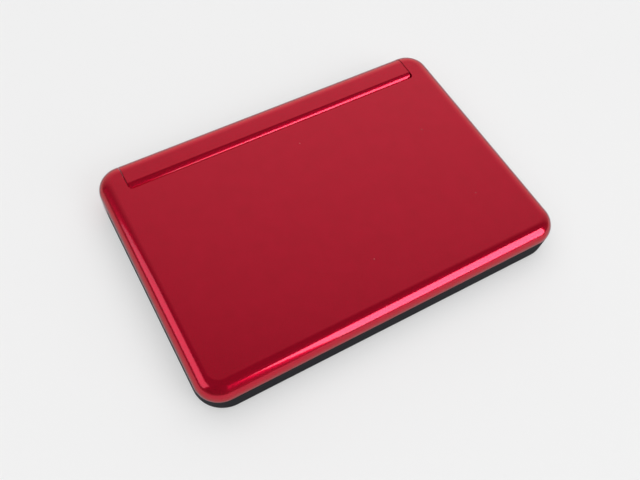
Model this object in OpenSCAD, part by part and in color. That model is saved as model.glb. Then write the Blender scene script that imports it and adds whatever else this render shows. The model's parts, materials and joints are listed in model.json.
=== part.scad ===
// Pocket electronic dictionary, closed: a clamshell with a battery barrel across its hinge.
// X runs along the hinge, +Y points to the hinge, Z = 0 is the table, and all sizes are millimetres.

/* [Case] */
// Width of the closed case, along the hinge
body_w = 148; // [147:0.5:158]
// Depth of the closed case, from the front edge to the back of the hinge barrel
body_d = 103.6; // [103:0.2:112]
// Radius of the four corners, seen from above
corner_r = 11; // [9:0.25:12]
// Thickness of the side walls of base and lid
wall = 1.3; // [1.1:0.05:1.4]
// Height of the base from its underside to its rim
base_h = 9.5; // [9.5:0.1:10.2]
// Thickness of the base's floor
floor_t = 1.2; // [1:0.1:1.4]
// Rounding of the base's lower edge
base_edge_r = 3; // [2:0.1:3]
// Shadow line between the rims of base and lid
seam = 0.3; // [0.2:0.05:0.4]

/* [Lid] */
// Height of the lid from its rim to its top
lid_h = 6.2; // [6:0.1:6.8]
// Rounding of the lid's upper edge
lid_edge_r = 5.7; // [5:0.1:5.9]
// Thickness of the lid's top
lid_skin = 1.1; // [0.9:0.05:1.2]
// Depth of the inner face of the lid behind its rim
bezel_sink = 1; // [1:0.05:1.2]
// Thickness of the display bezel
bezel_t = 1; // [0.8:0.1:1.1]
// Distance from the back of the case to the lid's cut-out for the barrel
notch_back = 14.7; // [14.5:0.1:15.2]
// Rounding of the inner corners of that cut-out
notch_r = 1.8; // [1:0.1:2.5]

/* [Hinge] */
// Distance from the back of the case to the hinge axis
axis_back = 6.2; // [6:0.05:6.4]
// Height of the hinge axis above the table
hinge_z = 8.3; // [8.2:0.05:8.5]
// Width of each lid knuckle beside the barrel, up to the middle of the gap
knuckle_w = 10.5; // [10:0.25:11]
// Radius of the lid knuckles about the hinge axis
knuckle_r = 8; // [7.8:0.05:8.05]
// Radius of the steel hinge pins
pin_r = 1.5; // [1.2:0.05:1.7]
// Length of each friction bracket along its pin
bracket_l = 3; // [2:0.25:3.5]
// Thickness of the steel hinge arms
arm_t = 1.3; // [1:0.1:1.4]
// Distance from the back of the case to the crease along the barrel's top
crease_back = 11.5; // [11.2:0.1:11.8]

/* [Batteries] */
// Radius of one AA cell
cell_r = 7; // [6.9:0.05:7.05]
// Length of one AA cell with its button
cell_l = 50.5; // [49.5:0.1:50.8]
// Distance from the back of the case to the middle of the cells
cell_back = 7.9; // [7.8:0.05:8]
// Room along the barrel for the coil contact at the left end
spring_l = 3.6; // [3:0.1:4]
// Thickness of the battery door
door_t = 0.9; // [0.8:0.05:1]
// How far the battery door slides back before it lifts off
door_travel = 4; // [3:0.5:5]

/* [Keyboard] */
// Distance between neighbouring keys of a row
key_pitch_x = 13.4; // [12.8:0.1:13.4]
// Distance between the letter rows
key_pitch_y = 9.8; // [9.2:0.1:9.9]
// Bare deck between two neighbouring keys
key_gap = 1.8; // [1.6:0.1:2.4]
// Height of a key's top above the deck
key_h = 1.4; // [1:0.1:1.4]
// How far a key travels when it is pressed
key_travel = 0.5; // [0.3:0.05:0.55]
// Rounding of a key's corners
cap_r = 1.4; // [0.8:0.1:2]
// Thickness of the keyboard deck
deck_t = 1; // [0.8:0.05:1.1]
// Depth of the deck's surface below the base's rim
deck_sink = 0.4; // [0.3:0.05:0.5]
// Height of the lip around the deck, which hides the shadow line
deck_lip = 1.2; // [1:0.05:1.3]
// Depth of the function keys, front to back
fn_d = 6.4; // [5:0.2:7]
// Distance from the back edge of the deck to the middle of the function keys
fn_back = 9.7; // [7:0.1:10]
// Distance from the function keys to the first letter row
fn_drop = 10.7; // [10:0.1:11]
// Distance from the front of the case to the middle of the arrow keys
pad_front = 23.3; // [22.6:0.1:23.5]
// Distance of each arrow key from the enter key
pad_step = 9.6; // [9.2:0.1:10]
// Diameter of the round enter key
enter_w = 8.4; // [7.6:0.1:8.6]

/* [Displays] */
// Width of the main display's clear window
window_w = 122; // [112:1:126]
// Depth of the main display's clear window
window_d = 74; // [64:1:76]
// Thickness of the clear window
window_t = 0.9; // [0.7:0.05:0.95]
// Thickness of the main display panel
panel_t = 1.6; // [1.2:0.05:1.7]
// Width of the handwriting pad's display
pad_w = 56; // [48:1:58]
// Depth of the handwriting pad's display
pad_d = 24; // [18:0.5:24]

/* [Boards and sockets] */
// Thickness of the circuit boards
board_t = 0.8; // [0.6:0.1:1]
// Height of the main board's top above the table
board_z = 5.8; // [5.6:0.05:5.9]
// Radius of the earphone socket's bore
jack_r = 1.8; // [1.7:0.05:1.9]
// Depth of the earphone socket's bore
jack_l = 15; // [12:0.5:16]
// Width of the data socket
usb_w = 7.5; // [7:0.1:8]
// Width of the memory card slot's door
card_w = 27.3; // [26:0.1:30]
// Height of the memory card slot's door
card_h = 4; // [3.4:0.1:4.2]

/* [Stylus] */
// Radius of the stylus
stylus_r = 2.2; // [1.8:0.05:2.3]
// Length of the stylus
stylus_l = 86; // [70:1:90]
// Distance from the front of the case to the stylus
stylus_front = 6.3; // [6.2:0.05:6.6]

/* [Feet and screws] */
// Height that the rubber feet stand out
foot_h = 0.4; // [0.3:0.05:0.6]
// Radius of the front feet
foot_r = 3.5; // [2.5:0.1:4]
// Radius of the back feet
back_foot_r = 2.7; // [2.2:0.1:2.8]
// Radius of the screws' shanks
screw_r = 0.8; // [0.7:0.05:0.9]
// Radius of the screws' heads
head_r = 1.7; // [1.5:0.05:1.8]

/* [Clearances] */
// Gap at each side between the barrel and a lid knuckle, each way from its middle
end_gap = 0.2; // [0.15:0.05:0.3]
// Gap that a swinging surface keeps from what it passes
swing_gap = 0.32; // [0.25:0.01:0.35]
// Gap around a plate that sits in a frame
fit_gap = 0.15; // [0.1:0.01:0.2]
// Gap around a key in its hole
key_clear = 0.25; // [0.15:0.01:0.3]
// Gap between two pieces that lie on each other
lay_gap = 0.05; // [0.03:0.01:0.06]
// Radial gap of a pin or slider in its bore
run_gap = 0.05; // [0.03:0.01:0.08]

/* [Hidden] */
$fn = 48;

case_red = "#a5222f";
case_black = "#2b292c";
deck_grey = "#3a383c";
key_white = "#dcdcde";
key_grey = "#77767a";
board_green = "#1f5a3c";
steel = "#b4b6ba";
copper = "#c98a4b";
rubber = "#1b1b1c";

side_x = body_w / 2;
back_y = body_d / 2;
front_y = -back_y;
rim_z = foot_h + base_h;
lid_z = rim_z + seam;
top_z = lid_z + lid_h;
floor_z = foot_h + floor_t;
deck_z = rim_z - deck_sink;
deck_low = deck_z - deck_t;
bezel_z = lid_z + bezel_sink;
bezel_top = bezel_z + bezel_t;
roof_z = top_z - lid_skin;
lid_fill = 0.8;
lid_inner_r = lid_edge_r - wall - lid_fill;
print_depth = 0.15;

hinge_y = back_y - axis_back;
cell_y = back_y - cell_back;
cell_z = foot_h + door_t + 2 * lay_gap + cell_r;
cell_bore = cell_r + fit_gap;
barrel_r = norm([crease_back - cell_back, top_z - cell_z]);
barrel_front = cell_y - barrel_r;
barrel_x = side_x - knuckle_w - end_gap;
notch_x = side_x - knuckle_w + end_gap;
recess_r = knuckle_r + swing_gap;
end_t = 1.2;
lip_t = 0.9;
tail_l = 5;
rim_front = 1;
swing_r = barrel_r + norm([hinge_y - cell_y, hinge_z - cell_z]) + swing_gap;
lip_r = swing_r + lip_t;
tray_back = barrel_front + lay_gap;
base_tail = hinge_y - tail_l;

hinge_bay = 8.6;
bay_x0 = hinge_bay - barrel_x;
plate_l = 0.6;
bay_x1 = bay_x0 + spring_l + 2 * cell_l + plate_l + 4 * lay_gap;
bracket_r = 4.5;
arm_r = 3.2;
washer_r = 3.2;
window_r = 3.4;
bay_floor_t = 1.9;
bay_floor = foot_h + bay_floor_t;
head_l = 0.6;
pin_head_r = 2.6;
washer_t = 0.2;
// Where the hinge's pieces start, measured from the inner end of their space
pin_x = 2 * fit_gap;
washer_x = pin_x + head_l + fit_gap;
bracket_x = washer_x + 2 * washer_t + 3 * lay_gap;
arm_inset = 4.5;
arm_x = side_x - wall - arm_inset;
flex_t = 0.2;
flex_w = 4;
coil_room = 0.75;
coil_in = pin_r + coil_room;
coil_out = coil_in + flex_t;
cable_gap = 0.4;
cable_x0 = hinge_inner(1) + bracket_x + bracket_l + cable_gap;
connector_d = 2.2;
connector_h = 1.2;
connector_x = cable_x0 - 0.9;

door_reach = 5.2;
door_front = cell_y - door_reach;
door_wall_h = 4;
door_wall_top = foot_h + door_wall_h;
door_wall_y = cell_y + door_reach / 2;
tongue = 1;
tongue_t = 0.4;
tongue_front = 1.5;
button_l = 1;
button_r = 2.75;
contact_r = 6;
contact_t = 0.4;
coil_wide = 5.6;
coil_narrow = 3.6;
coil_wire = 1;
dimple_r = 3;

deck_w = body_w - 2 * wall - 2 * fit_gap;
deck_d = body_d - 2 * wall - 2 * fit_gap;
deck_back = tray_back - fit_gap;
deck_corner = corner_r - wall - fit_gap;
deck_lip_t = 0.8;
bezel_back = hinge_y - lip_r - fit_gap;

cap_w = key_pitch_x - key_gap;
cap_d = key_pitch_y - key_gap;
fn_y = deck_back - fn_back;
pad_y = front_y + pad_front;
pad_x = 3.9 * key_pitch_x;
first_column = -4.5 * key_pitch_x;
fn_pitch = 1.5 * key_pitch_x;
side_pitch = 1.1 * key_pitch_y;
arrow_w = 6.4;
arrow_l = 9;
flange_t = 0.6;
flange_out = 0.6;
flange_z = deck_low - lay_gap;
plunger_l = 0.65;
plunger_r = 1.6;
plunger_z = flange_z - flange_t - plunger_l;
dome_top = plunger_z - key_travel - lay_gap;
dome_r = 2.8;
sheet_t = 0.25;
cap_step = 0.3;

// Distance of each hinge space from the middle: the left one is beside the coil contact
function hinge_inner(s) = s < 0 ? end_t - bay_x0 : bay_x1 + end_t;
function column(c) = first_column + c * key_pitch_x;
function row(r) = fn_y - fn_drop - (r - 1) * key_pitch_y;
function side_row(r) = pad_y + pad_step - r * side_pitch;
function letter(c, r) = [column(c), row(r), cap_w, cap_d, cap_r];
function function_place(i) =
    [first_column + key_pitch_x / 2 + fn_pitch * (i - 0.5), fn_y, fn_pitch - key_gap, fn_d, cap_r];

// A key is [x, y, width, depth, corner radius].
LETTERS_1 = [for (c = [0:9]) letter(c, 1)];
LETTERS_2 = [for (c = [0:8]) letter(c, 2)];
LETTERS_3 = [for (c = [1:9]) letter(c, 3)];
FUNCTIONS = [for (i = [1:6]) function_place(i)];
DELETE = letter(9, 2);
SHIFT = letter(0, 3);
POWER = [first_column, fn_y, cap_w, fn_d, cap_r];
BACK = [column(0), side_row(0), cap_w, fn_d, cap_r];
VOICE = [column(0), side_row(1), cap_w, fn_d, cap_r];
PAGE_UP = [column(1), side_row(0), cap_w, fn_d, cap_r];
PAGE_DOWN = [column(1), side_row(1), cap_w, fn_d, cap_r];
ENTER = [pad_x, pad_y, enter_w, enter_w, enter_w / 2];
UP = [pad_x, pad_y + pad_step, arrow_l, arrow_w, cap_r];
DOWN = [pad_x, pad_y - pad_step, arrow_l, arrow_w, cap_r];
LEFT = [pad_x - pad_step, pad_y, arrow_w, arrow_l, cap_r];
RIGHT = [pad_x + pad_step, pad_y, arrow_w, arrow_l, cap_r];
KEYS = concat(LETTERS_1, LETTERS_2, LETTERS_3, FUNCTIONS,
    [DELETE, SHIFT, POWER, BACK, VOICE, PAGE_UP, PAGE_DOWN, ENTER, UP, DOWN, LEFT, RIGHT]);

// Room for the glass's edge and its leads around the handwriting display
module_w = pad_w + 6;
module_d = pad_d + 3.5;
module_y = pad_y + 0.25;
speaker_w = 26;
speaker_d = 9.6;
speaker_inset = 1.3;
speaker_x = column(0) + 0.8 * key_pitch_x;
speaker_y = front_y + wall + speaker_inset + speaker_d / 2;
speaker_rim = 1.5;
cone_h = 0.6;
slot_pitch = 2.8;
slot_w = 1;
slot_d = speaker_d - 3.2;

usb_y = row(1) + 7.6;
usb_l = 6.6;
usb_h = 2.6;
usb_wall = 0.3;
usb_tongue = 1.4;
socket_sink = 0.1;
jack_y = row(3) - 8.3;
jack_z = board_z - board_t / 2;
jack_body = 6.4;
jack_wall = 0.8;
jack_nose = jack_r + jack_wall;
card_y = row(2) - 4.8;
card_z = foot_h + base_edge_r - 0.4;
card_t = 1.2;
card_pin = 0.4;
card_pin_l = 0.65;
slot_l = 26.5;
slot_wall = 0.25;
slot_rail = 1.4;
slot_low = card_z - 0.8;

stylus_y = front_y + stylus_front;
silo_wall = 0.9;
silo_r = stylus_r + silo_wall;
silo_end = 2.5;
silo_web = 2.8;
stylus_z = floor_z + stylus_r + 0.8;
stylus_tip = 4;
stylus_tip_r = 0.6;
// Fingernail groove near the stylus's outer end
groove_x0 = 4.2;
groove_x1 = 3;
groove_depth = 0.6;
board_front = stylus_y + silo_r;
board_margin = wall + 1;
board_corner = 25;
board_back = deck_back - 0.5;
connector_back = board_back - 1.5;
chip_h = 1.3;
chip_w = 11;
// Chips under the board, as [x, y, width, depth]
CHIPS = [
    [column(4), row(1) + 3.4, 2 * chip_w, 1.5 * chip_w], [column(6), row(1), 1.3 * chip_w, 1.3 * chip_w],
    [column(4), row(3), 1.5 * chip_w, 0.9 * chip_w], [column(6), row(3), chip_w, 0.7 * chip_w],
    [column(8), row(1) + 8, 0.7 * chip_w, 0.7 * chip_w]
];

boss_r = 3;
post_r = 2;
board_post_x = 32;
label_w = 62;
label_d = 26;
post_sink = 0.4;
pillar_r = 2.2;
boss_top = board_z - board_t - lay_gap;
screw_inset = 4.5;
screw_back = deck_back - 5;
screw_front = front_y + 13.8;
front_inset = screw_inset + 1;
// Screws that close the base, as [x, y]
SCREWS = [
    [screw_inset - side_x, screw_back], [side_x - screw_inset, screw_back],
    [front_inset - side_x, screw_front], [side_x - front_inset, screw_front],
    [-22, front_y + 5.3]
];
head_seat = foot_h + 1.4;
head_t = 0.8;
screw_tip = 0.9;
screw_top = deck_low - screw_tip;
screw_seat_gap = 0.02;

bumper_r = 1.9;
bezel_boss_r = 2.5;
bumper_inset = wall + fit_gap + bezel_boss_r + 0.75;
bumper_rows = [bezel_back - 15.8, front_y + 11.8];
// Screws that hold the bezel, as [x, y]
BEZEL_SCREWS = [for (s = [-1, 1], y = bumper_rows) [s * (side_x - bumper_inset), y]];
bezel_seat = bezel_z + 1.4;
bezel_boss = bezel_seat + 0.6;
bezel_head_t = 0.7;
view_y = (bezel_back + front_y + wall) / 2;
window_sink = 0.1;
window_corner = 2;
window_gap = 2 * lay_gap;
panel_z = bezel_z + window_sink + window_t + lay_gap;
panel_inset = 1.5;
lid_board_z = panel_z + panel_t + 2 * lay_gap;
lid_board_w = window_w - 22;
lid_board_d = window_d - 8;
flex_z = lid_board_z + board_t / 2;
flex_y = view_y + 26;
leaf_z = bezel_top + 4 * lay_gap;
leaf_t = 1;
leaf_w = 3;
leaf_front = hinge_y - 21.6;
stake_y = leaf_front + leaf_w;
stake_r = 1;
stake_clear = 0.1;
press_gap = 0.02;

foot_sink = 0.4;
front_foot = [side_x - 12, front_y + 9.8, foot_r];
back_foot = [barrel_x - end_t - back_foot_r - 0.2, hinge_y - 0.6, back_foot_r];
// Rubber feet, as [x, y, radius]
FEET = [for (s = [-1, 1], f = [front_foot, back_foot]) [s * f.x, f.y, f.z]];

// Outline of a rounded rectangle
function rounded(w, d, r, n = 4) = [
    for (c = [0:3], i = [0:n])
        let (
            a = 90 * c + 90 * i / n,
            cx = (c == 0 || c == 3) ? w / 2 - r : r - w / 2,
            cy = c < 2 ? d / 2 - r : r - d / 2
        )
        [cx + r * cos(a), cy + r * sin(a)]
];

// A box given by two opposite corners
module span(a, b) {
    translate(a) cube(b - a);
}

// A cylinder that lies along X from x0 to x1 about the line y, z
module rod(x0, x1, r, y, z) {
    translate([x0, y, z]) rotate([0, 90, 0]) cylinder(h = x1 - x0, r = r);
}

// An upright cylinder between two heights
module span_z(z0, z1, r) {
    translate([0, 0, z0]) cylinder(h = z1 - z0, r = r);
}

module edge_profile(r, h, top_r, bottom_r) {
    difference() {
        square([r, h]);
        if (top_r > 0)
            translate([r - top_r, h - top_r]) difference() {
                square(top_r + 1);
                circle(top_r);
            }
        if (bottom_r > 0)
            translate([r - bottom_r, bottom_r]) mirror([0, 1]) difference() {
                square(bottom_r + 1);
                circle(bottom_r);
            }
    }
}

// One side of a slab: a straight stretch along Y and the corner at its +Y end
module slab_side(reach, half, r, h, top_r, bottom_r) {
    translate([reach - r, half - r, 0]) {
        rotate([90, 0, 0]) linear_extrude(2 * (half - r)) edge_profile(r, h, top_r, bottom_r);
        rotate_extrude(angle = 90) edge_profile(r, h, top_r, bottom_r);
    }
}

// A plate with rounded corners and with rounded upper and lower edges
module slab(w, d, r, z0, z1, top_r = 0, bottom_r = 0) {
    h = z1 - z0;
    translate([0, 0, z0]) {
        for (turn = [0, 180]) rotate(turn) slab_side(w / 2, d / 2, r, h, top_r, bottom_r);
        for (turn = [90, 270]) rotate(turn) slab_side(d / 2, w / 2, r, h, top_r, bottom_r);
        translate([r - w / 2, r - d / 2, 0]) cube([w - 2 * r, d - 2 * r, h]);
    }
}

module case_slab(inset, z0, z1, top_r, bottom_r) {
    slab(body_w - 2 * inset, body_d - 2 * inset, corner_r - inset, z0, z1, top_r, bottom_r);
}

module plate(w, d, r, z0, z1) {
    translate([0, 0, z0]) linear_extrude(z1 - z0) polygon(rounded(w, d, r));
}

// The barrel's cross-section from the front arc to the rounded back edge, extruded between x0 and x1
module barrel(x0, x1, z0) {
    intersection() {
        case_slab(0, foot_h, top_z, lid_edge_r, base_edge_r);
        union() {
            rod(x0, x1, barrel_r, cell_y, cell_z);
            span([x0, back_y - crease_back, foot_h], [x1, back_y, top_z]);
            span([x0, tray_back, foot_h], [x1, cell_y, cell_z]);
        }
        span([x0, front_y, z0], [x1, back_y + 1, z0 < rim_z ? rim_z : top_z + 1]);
    }
}

// What the lid's knuckles sweep, cut out of the base
module knuckle_recess() {
    for (s = [-1, 1]) scale([s, 1, 1]) {
        rod(barrel_x, side_x + 1, recess_r, hinge_y, hinge_z);
        span([barrel_x, base_tail, 0], [side_x + 1, back_y + 1, rim_z + 1]);
    }
}

// The battery door, or with a gap the opening that it slides in
module door_solid(gap, slide) {
    x0 = bay_x0 + fit_gap - gap;
    x1 = bay_x1 - fit_gap + gap;
    top = foot_h + door_t + gap;
    tongue_back = back_y - base_edge_r - door_travel + slide + gap;
    intersection() {
        case_slab(0, foot_h, top_z, lid_edge_r, base_edge_r);
        difference() {
            union() {
                span([x0, door_front + fit_gap - gap, 0], [x1, back_y + 1, top]);
                span([x0, door_wall_y, 0], [x1, back_y + 1, door_wall_top + gap]);
                span([x0 - tongue, door_front + tongue_front - gap, top - tongue_t - 2 * gap],
                    [x1 + tongue, tongue_back, top]);
            }
            rod(bay_x0, bay_x1, cell_bore, cell_y, cell_z);
        }
    }
}

// The spaces in the barrel beside the battery bay, one for each hinge
module hinge_bays(z1) {
    half = bracket_r + 2 * fit_gap;
    for (s = [-1, 1]) scale([s, 1, 1]) {
        span([hinge_inner(s), hinge_y - half, bay_floor], [barrel_x - end_t, hinge_y + half, z1]);
        rod(hinge_inner(s), barrel_x + 1, window_r, hinge_y, hinge_z);
    }
}

// A post on the base's floor up to the underside of the main board
module post(x, y, r) {
    translate([x, y, floor_z - post_sink]) cylinder(h = boss_top - floor_z + post_sink, r = r);
}

// The silo of the stylus and the web that joins it to the floor
module silo() {
    x0 = side_x - stylus_l - silo_end;
    web = silo_web / 2;
    intersection() {
        case_slab(wall / 2, foot_h, rim_z, 0, base_edge_r - wall / 2);
        union() {
            rod(x0, side_x, silo_r, stylus_y, stylus_z);
            span([x0, stylus_y - web, foot_h], [side_x, stylus_y + web, stylus_z]);
        }
    }
}

// Holes through the base's side walls for the sockets, the stylus and the card door
module side_holes() {
    inside = side_x - wall - 1;
    outside = side_x + 1;
    rod(outside - stylus_l - silo_end, outside, stylus_r + run_gap, stylus_y, stylus_z);
    rod(inside, outside, jack_nose + lay_gap, jack_y, jack_z);
    span([inside, usb_y - usb_w / 2 - lay_gap, board_z],
        [outside, usb_y + usb_w / 2 + lay_gap, board_z + usb_h + lay_gap]);
    span([-outside, card_y - card_w / 2 - fit_gap, card_z - 2 * lay_gap],
        [-inside, card_y + card_w / 2 + fit_gap, card_z + card_h + fit_gap]);
    translate([card_t / 2 - side_x, card_y, card_z + card_t / 2]) rotate([90, 0, 0])
        cylinder(h = card_w + 2 * card_pin_l + 2 * fit_gap, r = card_pin + run_gap, center = true);
}

module bottom_case() {
    color(case_black) difference() {
        union() {
            difference() {
                case_slab(0, foot_h, rim_z, 0, base_edge_r);
                intersection() {
                    case_slab(wall, floor_z, rim_z + 1, 0, base_edge_r - wall);
                    span([-side_x, front_y, 0], [side_x, tray_back, rim_z + 2]);
                }
                span([-barrel_x - 1, tray_back + end_t, cell_z], [barrel_x + 1, back_y + 1, rim_z + 1]);
                knuckle_recess();
            }
            barrel(-barrel_x, barrel_x, foot_h);
            for (p = SCREWS) post(p.x, p.y, boss_r);
            for (s = [-1, 1]) post(s * board_post_x, row(2) + key_pitch_y / 2 - key_pitch_y, post_r);
            for (s = [-1, 1]) post(speaker_x + s * speaker_w / 3, speaker_y, post_r);
            silo();
        }
        rod(bay_x0, bay_x1, cell_bore, cell_y, cell_z);
        door_solid(fit_gap, door_travel);
        hinge_bays(rim_z + 1);
        span([connector_x, tray_back - 1, board_z - 2 * lay_gap], [barrel_x - end_t, hinge_y, board_z + 0.5]);
        for (p = SCREWS) translate([p.x, p.y, 0]) {
            cylinder(h = head_seat, r = head_r + fit_gap);
            cylinder(h = boss_top + 1, r = screw_r + fit_gap);
        }
        for (f = FEET) translate([f.x, f.y, 0]) cylinder(h = foot_h + foot_sink + lay_gap, r = f.z + lay_gap);
        side_holes();
        plate(label_w, label_d, cap_r, foot_h - 1, foot_h + print_depth);
    }
}

// The outline of a plate inside the walls, cut straight at the back
module inner_outline(back) {
    intersection() {
        polygon(rounded(deck_w, deck_d, deck_corner, 10));
        translate([-side_x, front_y]) square([body_w, back - front_y]);
    }
}

// The lip that stands up along the deck's edge, except at the hinge
module deck_rim() {
    t = deck_lip_t;
    translate([0, 0, deck_z - 0.1]) linear_extrude(deck_lip + 0.1) difference() {
        inner_outline(hinge_y - lip_r - rim_front);
        polygon(rounded(deck_w - 2 * t, deck_d - 2 * t, deck_corner - t, 10));
    }
}

module keyboard_deck() {
    color(deck_grey) difference() {
        union() {
            translate([0, 0, deck_low]) linear_extrude(deck_t) difference() {
                inner_outline(deck_back);
                for (k = KEYS) translate([k.x, k.y])
                    polygon(rounded(k[2] + 2 * key_clear, k[3] + 2 * key_clear, k[4] + key_clear));
                translate([0, module_y]) polygon(rounded(pad_w, pad_d, 1));
                for (i = [-4:3]) translate([speaker_x + (i + 0.5) * slot_pitch, speaker_y - 0.4])
                    polygon(rounded(slot_w, slot_d, 0.45 * slot_w, 3));
            }
            deck_rim();
            for (p = SCREWS) translate([p.x, p.y, boss_top + 2 * lay_gap])
                cylinder(h = deck_low - boss_top, r = pillar_r);
        }
        for (p = SCREWS) translate([p.x, p.y, 0]) cylinder(h = screw_top + fit_gap, r = screw_r + run_gap);
    }
}

module hinge_cover() {
    color(case_red) difference() {
        barrel(-barrel_x, barrel_x, rim_z + lay_gap);
        rod(end_t - barrel_x, barrel_x - end_t, cell_bore, cell_y, cell_z);
        hinge_bays(rim_z + 1);
        span([-barrel_x - 1, tray_back + end_t, rim_z - 1], [barrel_x + 1, back_y + 1, rim_z + lay_gap]);
    }
}

// What the board and the dome sheet leave free: the speaker's corner and the earphone socket
module board_cuts() {
    jack_half = jack_body / 2 + 0.4;
    speaker_edge = speaker_w / 2 + 1;
    translate([-side_x, front_y])
        square([side_x + speaker_x + speaker_edge, speaker_y + speaker_d / 2 + 0.6 - front_y]);
    translate([side_x - jack_l - 1.5, jack_y - jack_half]) square([jack_l + 2, 2 * jack_half]);
}

module main_board() {
    color(board_green) translate([0, 0, board_z - board_t]) linear_extrude(board_t) difference() {
        translate([board_margin - side_x, board_front])
            square([body_w - 2 * board_margin, board_back - board_front]);
        for (p = SCREWS) translate([p.x, p.y]) circle(pillar_r + key_clear);
        for (s = [-1, 1]) translate([s * side_x, front_y]) rotate(45) square(board_corner, center = true);
        board_cuts();
    }
}

module board_chips() {
    color(rubber) {
        for (c = CHIPS) translate([c.x, c.y, boss_top - chip_h])
            linear_extrude(chip_h) square([c[2], c[3]], center = true);
        span([connector_x, connector_back - connector_d, board_z + lay_gap],
            [barrel_x - end_t, connector_back, board_z + connector_h]);
    }
}

module dome_sheet() {
    z0 = board_z + lay_gap;
    sheet_front = board_front + fit_gap;
    color(key_grey) {
        translate([0, 0, z0]) linear_extrude(sheet_t) difference() {
            translate([column(0) - cap_w / 2, sheet_front])
                square([9 * key_pitch_x + cap_w, fn_y + fn_d / 2 - sheet_front]);
            translate([-module_w / 2 - 0.5, module_y - module_d / 2 - 1])
                square([module_w + 1, module_d + 1.5]);
            board_cuts();
        }
        for (k = KEYS) translate([k.x, k.y, z0])
            cylinder(h = dome_top - z0, r1 = dome_r, r2 = 0.65 * dome_r);
    }
}

module sub_display() {
    color(case_black) translate([0, module_y, 0])
        plate(module_w, module_d, 1, board_z + lay_gap, deck_low - lay_gap);
}

module speaker() {
    color(rubber) translate([speaker_x, speaker_y, 0]) difference() {
        plate(speaker_w, speaker_d, 2, boss_top + lay_gap, deck_low - lay_gap);
        plate(speaker_w - 2 * speaker_rim, speaker_d - 2 * speaker_rim, speaker_rim,
            deck_low - cone_h, deck_z);
    }
}

// One AA cell with its button at the +X end
module cell(x) {
    color(copper) {
        rod(x, x + cell_l - button_l, cell_r, cell_y, cell_z);
        rod(x + cell_l - button_l, x + cell_l, button_r, cell_y, cell_z);
    }
}

module battery_left() {
    cell(bay_x0 + spring_l + lay_gap);
}

module battery_right() {
    cell(bay_x0 + spring_l + cell_l + 2 * lay_gap);
}

// Coil contact, its turns taken as one cone with the wire's thickness
module battery_spring() {
    x0 = bay_x0 + lay_gap;
    length = spring_l - lay_gap - contact_t;
    color(steel) {
        rod(x0, x0 + contact_t, contact_r, cell_y, cell_z);
        translate([x0 + contact_t, cell_y, cell_z]) rotate([0, 90, 0]) rotate_extrude() polygon([
            [coil_wide - coil_wire, 0], [coil_wide, 0],
            [coil_narrow, length], [coil_narrow - coil_wire, length]
        ]);
    }
}

module battery_plate() {
    x1 = bay_x1 - lay_gap;
    color(steel) {
        rod(x1 - contact_t, x1, contact_r, cell_y, cell_z);
        rod(x1 - plate_l, x1 - contact_t, dimple_r, cell_y, cell_z);
    }
}

// Steel bracket in the barrel that grips the hinge pin
module hinge_bracket(s) {
    x0 = hinge_inner(s) + bracket_x;
    x1 = x0 + bracket_l;
    color(steel) scale([s, 1, 1]) difference() {
        union() {
            rod(x0, x1, bracket_r, hinge_y, hinge_z);
            span([x0, hinge_y - bracket_r, bay_floor + lay_gap], [x1, hinge_y + bracket_r, hinge_z]);
        }
        rod(x0 - 1, x1 + 1, pin_r + run_gap, hinge_y, hinge_z);
    }
}

module hinge_washers() {
    color(steel) for (s = [-1, 1], i = [0, 1]) scale([s, 1, 1]) difference() {
        x0 = hinge_inner(s) + washer_x + i * (washer_t + lay_gap);
        rod(x0, x0 + washer_t, washer_r, hinge_y, hinge_z);
        rod(x0 - 1, x0 + washer_t + 1, pin_r + run_gap, hinge_y, hinge_z);
    }
}

module hinge_pin(s) {
    x0 = hinge_inner(s) + pin_x;
    color(steel) scale([s, 1, 1]) {
        rod(x0, x0 + head_l, pin_head_r, hinge_y, hinge_z);
        rod(x0 + head_l, arm_x, pin_r, hinge_y, hinge_z);
    }
}

// Steel arm in the lid knuckle: a disc on the pin and a leaf staked to the lid
module hinge_arm(s) {
    x0 = arm_x - arm_t;
    leaf_top = leaf_z + leaf_t;
    color(steel) scale([s, 1, 1]) difference() {
        union() {
            rod(x0, arm_x, arm_r, hinge_y, hinge_z);
            span([x0, hinge_y - arm_r, hinge_z], [arm_x, hinge_y, leaf_top]);
            span([x0, leaf_front, leaf_z], [x0 + leaf_w, hinge_y, leaf_top]);
        }
        rod(x0 - 1, arm_x + 1, pin_r + press_gap, hinge_y, hinge_z);
        translate([x0 + leaf_w / 2, stake_y, 0]) span_z(leaf_z - 1, leaf_top + 1, stake_r + stake_clear);
    }
}

module screw(x, y, seat, top, down) {
    translate([x, y, 0]) {
        translate([0, 0, seat - down]) cylinder(h = down, r = head_r);
        translate([0, 0, seat]) cylinder(h = top - seat, r = screw_r);
    }
}

module case_screws() {
    color(steel) for (p = SCREWS) screw(p.x, p.y, head_seat - screw_seat_gap, screw_top, head_t);
}

module rubber_feet() {
    color(rubber) for (f = FEET) translate([f.x, f.y, 0]) cylinder(h = foot_h + foot_sink, r = f.z);
}

module usb_socket() {
    x0 = side_x - usb_l;
    low = board_z + lay_gap;
    half = usb_w / 2;
    tongue_half = half - usb_tongue;
    color(steel) {
        difference() {
            span([x0, usb_y - half, low], [side_x - socket_sink, usb_y + half, board_z + usb_h]);
            difference() {
                span([x0 + usb_wall, usb_y - half + usb_wall, low + usb_wall],
                    [side_x + 1, usb_y + half - usb_wall, board_z + usb_h - usb_wall]);
                span([x0, usb_y - tongue_half, board_z + 0.4 * usb_h],
                    [side_x - usb_wall - socket_sink, usb_y + tongue_half, board_z + 0.65 * usb_h]);
            }
        }
    }
}

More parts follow.
